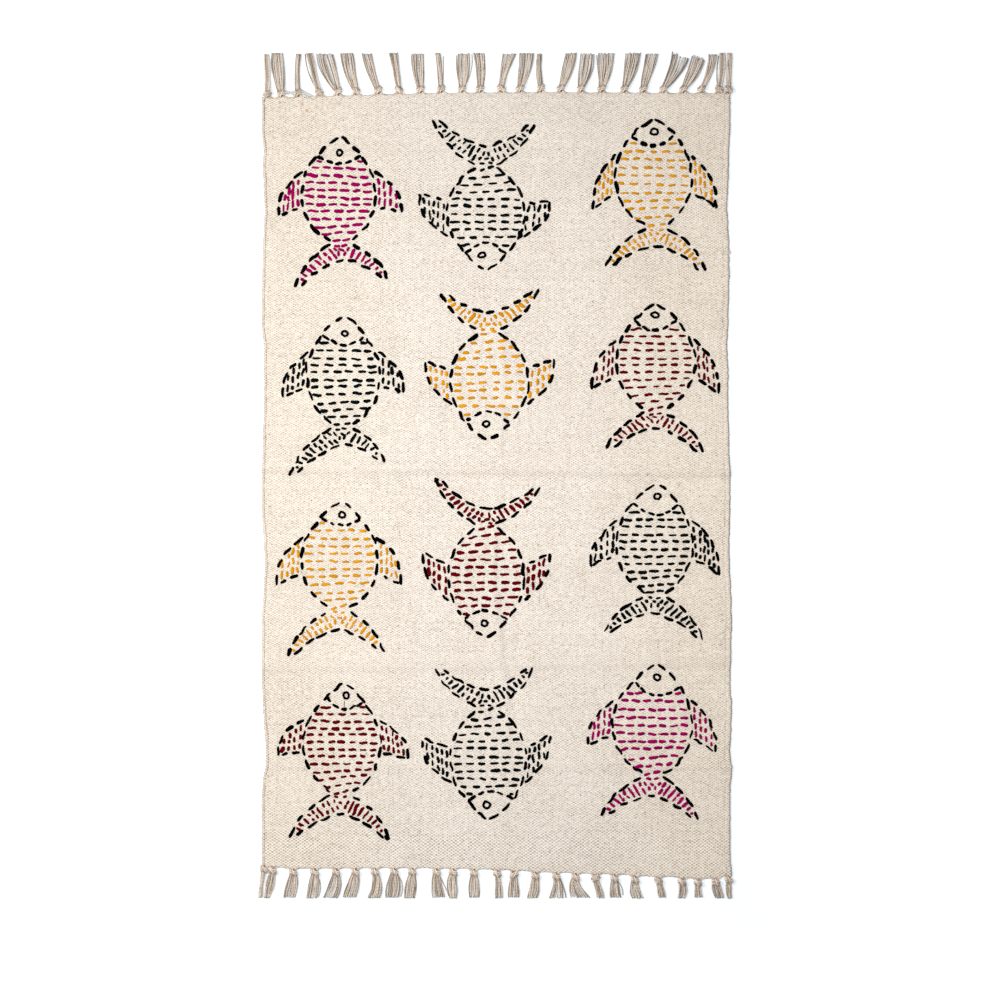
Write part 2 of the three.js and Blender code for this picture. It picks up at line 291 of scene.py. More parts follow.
# Extra black stitches, as start, end and width from the nose: thick knots and one thin loose end.
KNOTS = {
    "fish_1_2": [((52.0, 48.5), (49.6, 59.5), 7.4)],
    "fish_3_2": [((-75.0, 231.5), (-72.0, 238.0), 6.0)],
    "fish_4_1": [((61.5, 226.5), (66.5, 234.5), 7.0), ((1.0, 25.0), (0.5, 36.5), 0.7)],
}
# The stitches between the waist and the tail, as places and leans from the waist's middle.
TAIL_ROOT = (
    (-6.0, 6.5, 0.1), (6.0, 6.0, -0.1), (-10.0, 13.0, 1.0), (0.0, 13.5, 0.2), (10.0, 13.0, -1.0),
    (-4.5, 20.5, 1.3), (5.0, 20.0, -1.25),
)


def linear(red, green, blue):
    """A screen colour from 0 to 255 as the linear colour that materials take."""
    shares = (value / 255 for value in (red, green, blue))
    return tuple(v / 12.92 if v <= 0.04045 else ((v + 0.055) / 1.055) ** 2.4 for v in shares)


def smooth(share):
    """The smooth step from 0 to 1."""
    share = np.clip(share, 0, 1)
    return share * share * (3 - 2 * share)


def read_table(rows, places, column):
    """A table's column at the places, eased from each row to the next."""
    keys = np.array([row[0] for row in rows], float)
    values = np.array([row[column] for row in rows], float)
    index = np.clip(np.searchsorted(keys, places) - 1, 0, len(keys) - 2)
    share = (places - keys[index]) / (keys[index + 1] - keys[index])
    return values[index] + (values[index + 1] - values[index]) * smooth(share)


def hump(distance, middle, width):
    """A soft hump: 1 at the middle, and almost 0 at twice the width from it."""
    return np.exp(-(((distance - middle) / width) ** 2))


def above_crease(x, y, middle, drop):
    """How far a place lies above a cross crease, in millimetres."""
    return y - (middle - drop * x / RUG_WIDTH)


def long_crease(y):
    """Where the long crease runs at y, and how high it stands there, in millimetres."""
    return LONG_CREASE_X + read_table(LONG_CREASE, y, 2), read_table(LONG_CREASE, y, 1)


def crease_rise(x, y):
    """How far the creases lift the cloth off the floor, in millimetres."""
    rise = np.zeros(np.broadcast(x, y).shape)
    for middle, height, above, below, drop in CROSS_CREASES:
        away = above_crease(x, y, middle, drop)
        slope = np.where(away > 0, above, below)
        rise = np.maximum(rise, height * (1 - smooth(np.abs(away) / slope)))
    column, height = long_crease(y)
    ridge = height * (1 - smooth(np.abs(x - column) / LONG_CREASE_SLOPE))
    return np.maximum(rise, ridge)


def undulation(x, y):
    """The slow waves of cloth that has been folded and laid flat again, in millimetres."""
    total = 0
    for height, across, along, start in SLOW_WAVES:
        total = total + height * np.sin(x * across + y * along + start)
    return total


def cloth_top(x, y, cloth):
    """The height of the cloth's upper face, in millimetres."""
    return crease_rise(x, y) + cloth.thickness / MM + undulation(x, y)


class Shade:
    """A number socket of a material. Sums on it add Math nodes."""

    def __init__(self, finish, socket):
        self.finish = finish
        self.socket = socket

    def maths(self, operation, *values):
        sockets = dict(enumerate(values))
        return self.finish.node("Math", {"operation": operation}, sockets)

    def __add__(self, other):
        return self.maths("ADD", self, other)

    def __radd__(self, other):
        return self.maths("ADD", other, self)

    def __sub__(self, other):
        return self.maths("SUBTRACT", self, other)

    def __rsub__(self, other):
        return self.maths("SUBTRACT", other, self)

    def __mul__(self, other):
        return self.maths("MULTIPLY", self, other)

    def __rmul__(self, other):
        return self.maths("MULTIPLY", other, self)

    def __truediv__(self, other):
        return self.maths("DIVIDE", self, other)

    def __rtruediv__(self, other):
        return self.maths("DIVIDE", other, self)

    def floor(self):
        return self.maths("FLOOR", self)

    def cosine(self):
        return self.maths("COSINE", self)

    def unsigned(self):
        return self.maths("ABSOLUTE", self)

    def above(self, limit):
        return self.maths("GREATER_THAN", self, limit)

    def higher(self, other):
        return self.maths("MAXIMUM", self, other)


class Finish:
    """A material being made: its nodes come from one method."""

    def __init__(self, name):
        self.material = bpy.data.materials.new(name)
        self.material.use_nodes = True
        self.tree = self.material.node_tree
        self.shader = self.tree.nodes["Principled BSDF"]

    def plug(self, socket, value):
        """Sets a socket, or links it where the value is a Shade."""
        if isinstance(value, Shade):
            self.tree.links.new(value.socket, socket)
        else:
            socket.default_value = value

    def node(self, kind, settings=None, sockets=None, output=0):
        """Adds a node, sets it up, fills its sockets and hands back one output."""
        made = self.tree.nodes.new("ShaderNode" + kind)
        for name, value in (settings or {}).items():
            if name == "stops":
                while len(made.color_ramp.elements) < len(value):
                    made.color_ramp.elements.new(0.5)
                for element, (position, colour) in zip(made.color_ramp.elements, value):
                    element.position = position
                    element.color = (*colour, 1)
            else:
                setattr(made, name, value)
        for name, value in (sockets or {}).items():
            self.plug(made.inputs[name], value)
        return Shade(self, made.outputs[output])

    def blend(self, factor, first, second, way="MIX"):
        """Two colours through a Mix node."""
        pick = {"data_type": "RGBA", "blend_type": way}
        first, second = (c if isinstance(c, Shade) else (*c, 1) for c in (first, second))
        return self.node("Mix", pick, {0: factor, 6: first, 7: second}, 2)

    def split(self, vector):
        """The three numbers of a vector or colour."""
        first = self.node("SeparateXYZ", None, {0: vector})
        outputs = first.socket.node.outputs
        return [Shade(self, socket) for socket in outputs]

    def place(self):
        """Where on the rug or floor the surface is, in metres."""
        return self.node("TexCoord", None, None, "Object")

    def noise(self, place, scale, detail=2, roughness=0.5, output="Fac"):
        """Cloudy noise between about 0.25 and 0.75."""
        sockets = {"Vector": place, "Scale": scale, "Detail": detail, "Roughness": roughness}
        return self.node("TexNoise", None, sockets, output)

    def chance(self, place):
        """A random number for each whole place."""
        return self.node("TexWhiteNoise", {"noise_dimensions": "3D"}, {"Vector": place}, "Value")

    def joined(self, x, y, z=0.0):
        return self.node("CombineXYZ", None, {0: x, 1: y, 2: z})

    def range(self, value, low, high, new_low=0.0, new_high=1.0):
        """Maps a number from one range to another, held at its ends."""
        sockets = {"Value": value, "From Min": low, "From Max": high, "To Min": new_low}
        sockets["To Max"] = new_high
        return self.node("MapRange", {"interpolation_type": "SMOOTHSTEP"}, sockets)

    def attribute(self, name):
        """A number that each point of the mesh carries under this name."""
        pick = {"attribute_type": "GEOMETRY", "attribute_name": name}
        return self.node("Attribute", pick, None, "Fac")

    def bump(self, height, distance, strength=1.0):
        sockets = {"Height": height, "Distance": distance, "Strength": strength}
        return self.node("Bump", None, sockets)

    def wear(self, colour, roughness, normal, specular=0.2):
        """Feeds the shader and hands back the material."""
        self.plug(self.shader.inputs["Base Color"], colour)
        self.plug(self.shader.inputs["Roughness"], roughness)
        self.plug(self.shader.inputs["Normal"], normal)
        self.shader.inputs["Specular IOR Level"].default_value = specular
        return self.material


def add_specks(finish, place, colour, cloth):
    """Scatters dark flecks and brown seed husks over a colour."""
    scatter = {"voronoi_dimensions": "2D"}
    sockets = {"Vector": place, "Scale": 62.0, "Randomness": 1.0}
    gap = finish.node("TexVoronoi", scatter, sockets, "Distance")
    pick, tint, _ = finish.split(finish.node("TexVoronoi", scatter, sockets, "Color"))
    speck = finish.range(gap, 0.085, 0.04) * pick.above(0.8)
    speck_colour = finish.blend(tint, cloth.fleck_colour, cloth.husk_colour)
    return finish.blend(speck * 0.7, colour, speck_colour)


def add_stain(finish, place, colour, cloth):
    """Lays the small yellow stain over a colour."""
    for x, y, radius, strength in STAINS:
        centre = finish.joined(x * MM, y * MM, cloth.thickness)
        gap = finish.node("VectorMath", {"operation": "DISTANCE"}, {0: place, 1: centre}, "Value")
        gap = gap + (finish.noise(place, 420.0, 2) - 0.5) * 0.003
        spot = finish.range(gap, radius * MM, radius * MM * 0.35) * strength
        colour = finish.blend(spot, colour, cloth.stain_colour, "MULTIPLY")
    return colour


def cotton_cloth(cloth):
    """Plain weave cotton: raised wefts over sunken warps, with flecks and one small stain, painted
    shade between the threads and from the mesh's shade, and a warmer painted shade towards its
    sides.
    """
    finish = Finish("cotton_cloth")
    place = finish.place()
    x, y, _ = finish.split(place)
    drift_x, drift_y, _ = finish.split(finish.noise(place, 14.0, 3, 0.6, "Color"))
    column = x / cloth.warp_pitch + (drift_x - 0.5) * 1.6
    row = finish.attribute("weft_count") + (drift_y - 0.5) * 2.2
    warp = (column + 0.5).floor()
    weft = (row + 0.5).floor()
    checks = (column * math.pi).cosine() * (row * math.pi).cosine()
    weft_round = ((row - weft) * math.tau).cosine()
    height = 0.5 + checks * 0.45 + weft_round * 0.07

    float_tone = finish.chance(finish.joined(warp, weft, 1.0))
    weft_tone = finish.chance(finish.joined(7.0, weft, (column / 41).floor()))
    warp_tone = finish.chance(finish.joined(warp, 5.0, (row / 57).floor()))
    cloud = finish.noise(place, 11.0, 3, 0.5)
    grain = finish.noise(place, 480.0, 2, 0.7)
    fibre = finish.noise(place, 1600.0, 2, 0.6)
    open_weave = finish.range(y, -0.47, -0.57, 0.88, 1.1)
    tone = 0.53 + (height - 0.5) * open_weave + (float_tone - 0.5) * 0.2
    tone = tone + (weft_tone - 0.5) * 0.07 + (warp_tone - 0.5) * 0.05 + (cloud - 0.5) * 0.2
    tone = tone + (grain - 0.5) * 1.3 + (fibre - 0.5) * 0.3
    # The tone follows the weave's height: the dark gap colour where the threads sink is painted
    # shade.
    stops = ((0.0, cloth.painted_gap_shade), (0.5, cloth.warp_colour), (1.0, cloth.weft_colour))
    colour = finish.node("ValToRGB", {"stops": stops}, {"Fac": tone})
    colour = add_specks(finish, place, colour, cloth)
    colour = add_stain(finish, place, colour, cloth)
    # Painted shade: the mesh's shade darkens grooves, rounded edges, woven ends and the creases'
    # sides.
    colour = finish.blend(finish.attribute("shade"), colour, cloth.painted_shade_colour, "MULTIPLY")
    # Painted shade: the cloth warmer and a little darker towards its sides, where the light falls
    # off.
    painted_side_shade = finish.range(x.unsigned(), 0.1, 0.33)
    colour = finish.blend(painted_side_shade, colour, cloth.painted_side_shade_colour, "MULTIPLY")
    relief = height + (fibre - 0.5) * 0.3 + (grain - 0.5) * 0.5
    return finish.wear(colour, 0.92, finish.bump(relief, cloth.weave_relief, 0.9))


def twisted_yarn(name, light, dark, plies, fibre_scale, relief, spread):
    """Plied cotton: the plies run along the strand's own map, in metres along and turns round. Its
    tone
    runs from a dark to a light colour: darker between the plies is painted shade, lighter on their
    crests painted light, and each point's shade paints more shade.
    spread is how much the strands differ in tone."""
    finish = Finish(name)
    strand = finish.node("UVMap", {"uv_map": "strand"})
    along, round_it, _ = finish.split(strand)
    place = finish.place()
    twist = (round_it * plies + along * PLY_TURNS) * math.tau
    ply = twist.cosine() * 0.5 + 0.5
    fibre = finish.noise(place, fibre_scale, 3, 0.6)
    cloud = finish.noise(place, 60.0, 2, 0.5)
    island = finish.node("NewGeometry", None, None, "Random Per Island")
    tone = 0.62 + (ply - 0.5) * 0.28 + (fibre - 0.5) * 0.5 + (cloud - 0.5) * 0.5
    tone = tone + (island - 0.5) * spread
    colour = finish.blend(finish.range(tone, 0.0, 1.0), dark, light)
    # Painted shade: each point's shade darkens towards a near-black copy of the dark colour.
    shadow = tuple(value * 0.12 for value in dark)
    colour = finish.blend(finish.attribute("shade"), colour, shadow)
    height = ply * 0.8 + fibre * 0.5
    return finish.wear(colour, 0.9, finish.bump(height, relief, 0.8), 0.02)


def floor_finish(stage):
    """A matt white studio floor with the faintest mottling and a painted glow: full away from the
    rug, dimmer and bluish beside it, so that shadows show there.
    """
    finish = Finish("studio_floor")
    place = finish.place()
    mottle = finish.noise(place, 3.0, 2)
    dim = tuple(value * 0.985 for value in stage.floor_colour)
    colour = finish.blend(mottle, dim, stage.floor_colour)
    normal = finish.bump(finish.noise(place, 300.0, 2), 0.0001, 0.1)
    x, y, _ = finish.split(place)
    outside = (x.unsigned() - DIM_HALF_WIDTH).higher(y.unsigned() - DIM_HALF_LENGTH)
    away = finish.range(outside, 0.0, 0.3)
    # Painted light: the floor glows, dimmer and bluish by the rug, full further out where the lamps
    # fall off.
    glow = finish.blend(away, stage.painted_glow_by_rug, (1.0, 1.0, 1.0))
    finish.plug(finish.shader.inputs["Emission Color"], glow)
    finish.shader.inputs["Emission Strength"].default_value = stage.painted_floor_glow
    return finish.wear(colour, 0.95, normal)


def add_piece(name, points, faces, material, strand_map=None, shade=None):
    """A smooth shaded mesh object from arrays, with an optional map along its strands and an
    optional painted shade of each point, from 0 to 1."""
    mesh = bpy.data.meshes.new(name)
    mesh.from_pydata(points.tolist(), [], faces)
    mesh.materials.append(material)
    mesh.polygons.foreach_set("use_smooth", [True] * len(mesh.polygons))
    if strand_map is not None:
        layer = mesh.uv_layers.new(name="strand")
        layer.data.foreach_set("uv", strand_map.astype(np.float32).ravel())
    if shade is not None:
        layer = mesh.attributes.new("shade", "FLOAT", "POINT")
        layer.data.foreach_set("value", np.clip(shade, 0, 1).astype(np.float32).ravel())
    mesh.update()
    piece = bpy.data.objects.new(name, mesh)
    bpy.context.scene.collection.objects.link(piece)
    return piece


def strand_faces(rings, sides):
    """The faces of one round strand: its quads, and the triangles of its first and last tip. With
    them come the quads' rings, and the turns round the strand of the quads and of a tip."""
    ring, side = np.meshgrid(np.arange(rings - 1), np.arange(sides), indexing="ij")
    after = (side + 1) % sides
    low, high = ring * sides, (ring + 1) * sides
    quads = np.stack([low + side, high + side, high + after, low + after], axis=-1)
    quad_rings = np.stack([ring, ring + 1, ring + 1, ring], axis=-1)
    quad_turns = np.stack([side, side, side + 1, side + 1], axis=-1) / sides
    side, after = side[0], after[0]
    last = (rings - 1) * sides
    tip = np.full(sides, rings * sides)
    first_tip = np.stack([tip, side, after], axis=-1)
    last_tip = np.stack([tip + 1, last + after, last + side], axis=-1)
    tip_turns = np.stack([side + 0.5, side, side + 1], axis=-1) / sides
    grids = [grid.reshape(-1, 4) for grid in (quads, quad_rings, quad_turns)]
    return grids[0], first_tip, last_tip, grids[1], grids[2], tip_turns


def strand_arrays(paths, wide, high, up=UPRIGHT, sides=6, plies=2, twist=0.8, ply_depth=0.1,
                  shade=0.0, under=0.0, outward=math.pi / 2):
    """Points, faces, map and shade of round strands. paths is strands x rings x 3, in millimetres;
    wide and high are the half sizes at each ring, and up is what stays upright. shade is the painted
    shade of each ring, and under the painted shade on the side turned away from outward."""
    paths = np.asarray(paths, float)
    count, rings = paths.shape[:2]
    wide = np.broadcast_to(wide, (count, rings))
    high = np.broadcast_to(high, (count, rings))
    steps = np.gradient(paths, axis=1)
    along = steps / np.linalg.norm(steps, axis=2, keepdims=True)
    aside = np.cross(along, np.asarray(up, float))
    aside = aside / np.linalg.norm(aside, axis=2, keepdims=True)
    above = np.cross(aside, along)
    reach = np.linalg.norm(np.diff(paths, axis=1), axis=2)
    reach = np.concatenate([np.zeros((count, 1)), np.cumsum(reach, axis=1)], axis=1)
    angle = np.arange(sides) / sides * math.tau
    turn = reach[:, :, None] * twist
    ripple = 1 + ply_depth * np.cos(plies * (angle[None, None, :] - turn))
    across = (wide[:, :, None] * np.cos(angle) * ripple)[..., None] * aside[:, :, None, :]
    upward = (high[:, :, None] * np.sin(angle) * ripple)[..., None] * above[:, :, None, :]
    ring_points = paths[:, :, None, :] + across + upward
    ring_points[..., 2] = np.maximum(ring_points[..., 2], FLOOR_GAP)
    first = paths[:, 0] - along[:, 0] * (wide[:, 0] * TIP_REACH)[:, None]
    last = paths[:, -1] + along[:, -1] * (wide[:, -1] * TIP_REACH)[:, None]
    body = ring_points.reshape(count, rings * sides, 3)
    points = np.concatenate([body, first[:, None], last[:, None]], axis=1)
    # Painted shade: each ring's own, and more on the side turned away from outward.
    ring_shade = np.broadcast_to(shade, (count, rings))
    turned = under * (0.5 - 0.5 * np.cos(angle - outward))
    dark = 1 - (1 - ring_shade[:, :, None]) * (1 - turned)
    dark = dark.reshape(count, rings * sides)
    dark = np.concatenate([dark, ring_shade[:, :1], ring_shade[:, -1:]], axis=1)

    quads, first_tip, last_tip, quad_rings, quad_turns, tip_turns = strand_faces(rings, sides)
    faces = []
    maps = []
    for strand in range(count):
        offset = strand * (rings * sides + 2)
        for part in (quads, first_tip, last_tip):
            faces += (part + offset).tolist()
        lengths = reach[strand] * MM
        maps.append(np.stack([lengths[quad_rings], quad_turns], axis=-1).reshape(-1, 2))
        for place in (0, -1):
            tip = np.stack([np.full(tip_turns.shape, lengths[place]), tip_turns], axis=-1)
            maps.append(tip.reshape(-1, 2))
    return points.reshape(-1, 3) * MM, faces, np.concatenate(maps), dark.ravel()


def add_strands(name, strands, material):
    """A piece from the arrays of a strand group."""
    points, faces, strand_map, shade = strands
    return add_piece(name, points, faces, material, strand_map, shade)


def join_arrays(parts):
    """Several strand groups as one."""
    faces = []
    offset = 0
    for points, part_faces, _, _ in parts:
        faces += [[corner + offset for corner in face] for face in part_faces]
        offset += len(points)
    points, _, maps, shades = zip(*parts)
    return np.concatenate(points), faces, np.concatenate(maps), np.concatenate(shades)


def band_places(left_band, right_band, length, cell):
    """Places from 0 to the length: fine in the two end bands, even between them."""
    inner_from = left_band[-1]
    inner_to = length - right_band[-1]
    count = max(2, round((inner_to - inner_from) / cell))
    inner = np.linspace(inner_from, inner_to, count + 1)[1:-1]
    right = length - np.array(right_band[::-1], float)
    return np.concatenate([np.array(left_band, float), inner, right])


def end_scallop(x, knots, depth):
    """How far the woven end is drawn in between its knots, in millimetres."""
    knots = np.array(sorted(knots), float)
    index = np.clip(np.searchsorted(knots, x) - 1, 0, len(knots) - 2)
    gap = knots[index + 1] - knots[index]
    share = np.clip((x - knots[index]) / gap, 0, 1)
    return depth * np.sin(math.pi * share) ** 0.8 * np.clip(gap / 30, 0.3, 1)


def cloth_outline(x, side):
    """The y of the woven end at x, with its scallops, in millimetres."""
    knots = [row[0] for row in TASSELS[side]]
    column = 2 if side == "top" else 1
    sign = 1 if side == "top" else -1
    return read_table(WOVEN_ENDS, x, column) - sign * end_scallop(x, knots, END_SCALLOP)


def panel_places(cloth, draw):
    """The x and y of the panel's mesh, and how far in it is from the left, right, bottom and top."""
    cell = cloth.cell / MM
    left_band = (0, 0.5, 1.3, 2.4, 3.4, 4.0, 4.5, 5.0, 5.7, 7.0, 9.0, 12.0)
    right_band = (0, 0.5, 1.3, 2.6, 4.6, 6.6, 7.7, 8.3, 8.8, 9.4, 10.6, 13.0)
    end_band = (0, 0.6, 1.5, 2.8, 4.4, 6.4, 9.0, 12.0)
    across = band_places(left_band, right_band, RUG_WIDTH, cell) / RUG_WIDTH
    along = band_places(end_band, end_band, WOVEN_LENGTH, cell) / WOVEN_LENGTH
    share, height_share = np.meshgrid(across, along)
    nominal = WOVEN_FOOT + WOVEN_LENGTH * height_share
    left = read_table(SELVEDGES, nominal, 1) + draw.normal(0, 0.22, (len(along), 1))
    right = read_table(SELVEDGES, nominal, 2) + draw.normal(0, 0.3, (len(along), 1))
    x = left + (right - left) * share
    bottom = read_table(WOVEN_ENDS, x, 1)
    top = read_table(WOVEN_ENDS, x, 2)
    y = bottom + (top - bottom) * height_share
    to_bottom = np.maximum(0, y - bottom)
    to_top = np.maximum(0, top - y)
    y = y + (cloth_outline(x, "bottom") - bottom) * (1 - smooth(to_bottom / END_EASE))
    y = y + (cloth_outline(x, "top") - top) * (1 - smooth(to_top / END_EASE))
    return x, y, (x - left, right - x, to_bottom, to_top)


def groove_wander(y):
    """How far the worn grooves beside the selvedges stray from a straight line, in millimetres."""
    return 0.25 * np.sin(y * 0.045) + 0.2 * np.sin(y * 0.13 + 1)


def panel_relief(x, y, from_left, from_right, draw):
    """How far the cloth's face stands off a flat one: waves, uneven threads, grooves, cords."""
    wander = groove_wander(y)
    relief = undulation(x, y) + draw.normal(0, 0.03, x.shape)
    relief = relief - 1.5 * hump(from_left, 4.5 + wander, 0.62)
    relief = relief - 0.35 * hump(from_right, 8.0 + 2 * wander, 0.9)
    return relief + 0.25 * hump(from_left, 2.2, 1.6) + 0.2 * hump(from_right, 4.0, 2.4)


def panel_shade(x, y, edges, draw):
    """The painted shade of each place of the cloth: darker in the worn grooves beside the selvedges,
    at the rounded edges and the woven ends, and the creases' painted shadows.
    """
    from_left, from_right, to_bottom, to_top = edges
    wander = groove_wander(y)
    speckle = draw.uniform(0.15, 1.0, (len(y), 1))
    shade = 0.75 * speckle * hump(from_left, 4.4 + wander, 0.9)
    shade = shade * (0.45 + 0.55 * np.exp(-to_top / 50))
    speckle = draw.uniform(0.0, 1.0, (len(y), 1)) * (0.6 + 0.4 * np.sin(y * 0.021 + 2.2))
    shade = shade + 0.3 * speckle * hump(from_right, 8.0 + 2 * wander, 1.1)
    shade = shade + 0.6 * hump(from_right, 0, 1.9) + 0.3 * hump(from_left, 0, 1.3)
    shade = shade + 0.12 * np.exp(-to_bottom / 5) + 0.08 * np.exp(-to_top / 5)
    for middle, height, _, below, drop in CROSS_CREASES:
        away = above_crease(x, y, middle, drop)
        shade = shade + 0.03 * height * hump(away, -0.4 * below, 3.2)
    column, height = long_crease(y)
    return shade + 0.04 * height * hump(x, column + 5, 3.4)


def sheet_faces(rows, columns):
    """The faces of a closed sheet: its upper grid, its under grid and the wall round its rim."""
    j, i = np.meshgrid(np.arange(rows - 1), np.arange(columns - 1), indexing="ij")
    base = j * columns + i
    quads = np.stack([base, base + 1, base + columns + 1, base + columns], axis=-1).reshape(-1, 4)
    half = rows * columns
    front = np.arange(columns)
    right_side = np.arange(rows) * columns + columns - 1
    back = (rows - 1) * columns + np.arange(columns)[::-1]
    left_side = np.arange(rows)[::-1] * columns
    rim = np.concatenate([front[:-1], right_side[:-1], back[:-1], left_side[:-1]])
    after = np.roll(rim, -1)
    wall = np.stack([rim + half, after + half, after, rim], axis=-1)
    return quads.tolist() + (quads[:, ::-1] + half).tolist() + wall.tolist()


def count_wefts(y, cloth, draw):
    """How many wefts lie below each y, with the uneven beating of a hand loom."""
    beat = np.linspace(-615, 585, 601)
    uneven = np.interp(beat, np.arange(-620, 600, 17), draw.normal(0, 0.05, 72))
    spacing = read_table(WEFT_SPACING, beat, 1) * (1 + uneven) * cloth.weft_pitch / MM
    return np.interp(y, beat, np.cumsum((beat[1] - beat[0]) / spacing))


def weave_panel(cloth):
    """The woven rug panel as a closed sheet on its creases."""
    draw = np.random.default_rng(SEEDS["panel"])
    x, y, edges = panel_places(cloth, draw)
    relief = panel_relief(x, y, edges[0], edges[1], draw)
    to_edge = np.minimum.reduce(edges)
    rounding = np.sqrt(np.clip(1 - (1 - np.clip(to_edge / RIM_ROUNDING, 0, 1)) ** 2, 0, 1))
    rise = crease_rise(x, y)
    thick = cloth.thickness / MM
    upper = rise + thick * (0.56 + 0.44 * rounding) + relief * rounding
    under = rise + thick * 0.44 * (1 - rounding)
    sides = [np.stack([x, y, z], axis=-1).reshape(-1, 3) for z in (upper, under)]
    points = np.concatenate(sides) * MM
    # The painted shade that the cloth's colour takes from its mesh.
    shade = np.tile(panel_shade(x, y, edges, draw).ravel(), 2)
    piece = add_piece(CLOTH_PIECE, points, sheet_faces(*x.shape), cotton_cloth(cloth), None, shade)
    wefts = np.tile(count_wefts(y, cloth, draw).ravel(), 2)
    layer = piece.data.attributes.new("weft_count", "FLOAT", "POINT")
    layer.data.foreach_set("value", wefts.astype(np.float32))
    return piece


def curve_through(*stations):
    """A smooth line through a few places, as an array of x, y."""
    stations = np.array(stations, float)
    before = 2 * stations[:1] - stations[1:2]
    after = 2 * stations[-1:] - stations[-2:-1]
    padded = np.concatenate([before, stations, after])
    share = np.linspace(0, 1, 12, endpoint=False)[:, None]
    parts = []
    for a, b, c, d in zip(padded, padded[1:], padded[2:], padded[3:]):
        parts.append(
            0.5 * (
                2 * b + (c - a) * share + (2 * a - 5 * b + 4 * c - d) * share ** 2
                + (3 * b - a - 3 * c + d) * share ** 3
            )
        )
    return np.concatenate(parts + [stations[-1:]])


def bow(start, end, pull):
    """A line from start to end, bent towards a place given as shares of the way in x and y."""
    start = np.array(start, float)
    end = np.array(end, float)
    middle = start + (end - start) * np.array(pull, float)
    share = np.linspace(0, 1, 30)[:, None]
    return start * (1 - share) ** 2 + middle * 2 * share * (1 - share) + end * share ** 2


def along_line(line, places):
    """The places along a line, at distances from its start."""
    reach = np.concatenate([[0], np.cumsum(np.linalg.norm(np.diff(line, axis=0), axis=1))])
    return np.stack([np.interp(places, reach, line[:, axis]) for axis in (0, 1)], axis=-1)


def line_length(line):
    """How long a line is from its first place to its last."""
    return float(np.linalg.norm(np.diff(line, axis=0), axis=1).sum())


def running_stitch(draw, line, length, gap, first_gap=0.0, jitter=0.16, shift=0.5):
    """Stitches along a line, as start and end places, with a hand's unevenness."""
    whole = line_length(line) - 2 * first_gap
    count = max(1, round((whole + gap) / (length + gap)))
    pitch = (whole + gap) / count
    stitch = pitch - gap * pitch / (length + gap)
    found = []
    for index in range(count):
        middle = first_gap + index * pitch + stitch / 2 + draw.normal(0, gap * 0.13)
        half = stitch / 2 * (1 + draw.normal(0, jitter))
        start, end = along_line(line, [max(0, middle - half), middle + half])
        found.append((start + draw.normal(0, shift, 2), end + draw.normal(0, shift, 2)))
    return found


def fish_lines(fish):
    """The lines of one fish in millimetres from its nose: aside, and towards the tail."""
    cheek_l, cheek_r, gill, waist = fish.cheek_l, fish.cheek_r, fish.gill, fish.waist
    lines = {}
    stretch = waist[1] / 158
    for side, cheek, width, fin, tail in (
        ("left", cheek_l, fish.sides[0], fish.fin_l, fish.tail_l),
        ("right", cheek_r, fish.sides[1], fish.fin_r, fish.tail_r),
    ):
        hand = 1 if width > 0 else -1
        waist_edge = (waist[0] + hand * 15, waist[1] - 1)
        lines["head_" + side] = curve_through(
            (hand * 1.5, 0.5), (cheek[0] * 0.52, cheek[1] * 0.38), cheek
        )
        lines["flank_" + side] = curve_through(
            cheek,
            (width * 0.87, 52 * stretch),
            (width, fish.sides[2] * 0.95),
            (width * 0.95, 109 * stretch),
            (width * 0.77, 131 * stretch),
            (width * 0.52, 147 * stretch),
            waist_edge,
        )
        root = (width * 0.95, 52 * stretch)
        fin = (fin[0], fin[1] + 3.5)
        lines["fin_" + side] = bow(root, fin, (1.13, 0.4))
        foot = (width * 1.03, 0.4 * fin[1] + 59)
        lines["fin_foot_" + side] = bow(fin, foot, (0.5, 0.75))
        lines["tail_" + side] = bow((waist_edge[0], waist_edge[1] + 5), tail, (0.78, 0.36))
        tip = (tail[0] - hand * 4.5, tail[1] + 2)
        lines["tail_under_" + side] = bow(fish.notch, tip, (0.62, 0.28))
    middle = (0.5 * (cheek_l[0] + cheek_r[0]), gill)
    lines["gill"] = curve_through(
        cheek_l, (cheek_l[0] * 0.5, cheek_l[1] + (gill - cheek_l[1]) * 0.7), middle,
        (cheek_r[0] * 0.5, cheek_r[1] + (gill - cheek_r[1]) * 0.7), cheek_r,
    )
    return lines


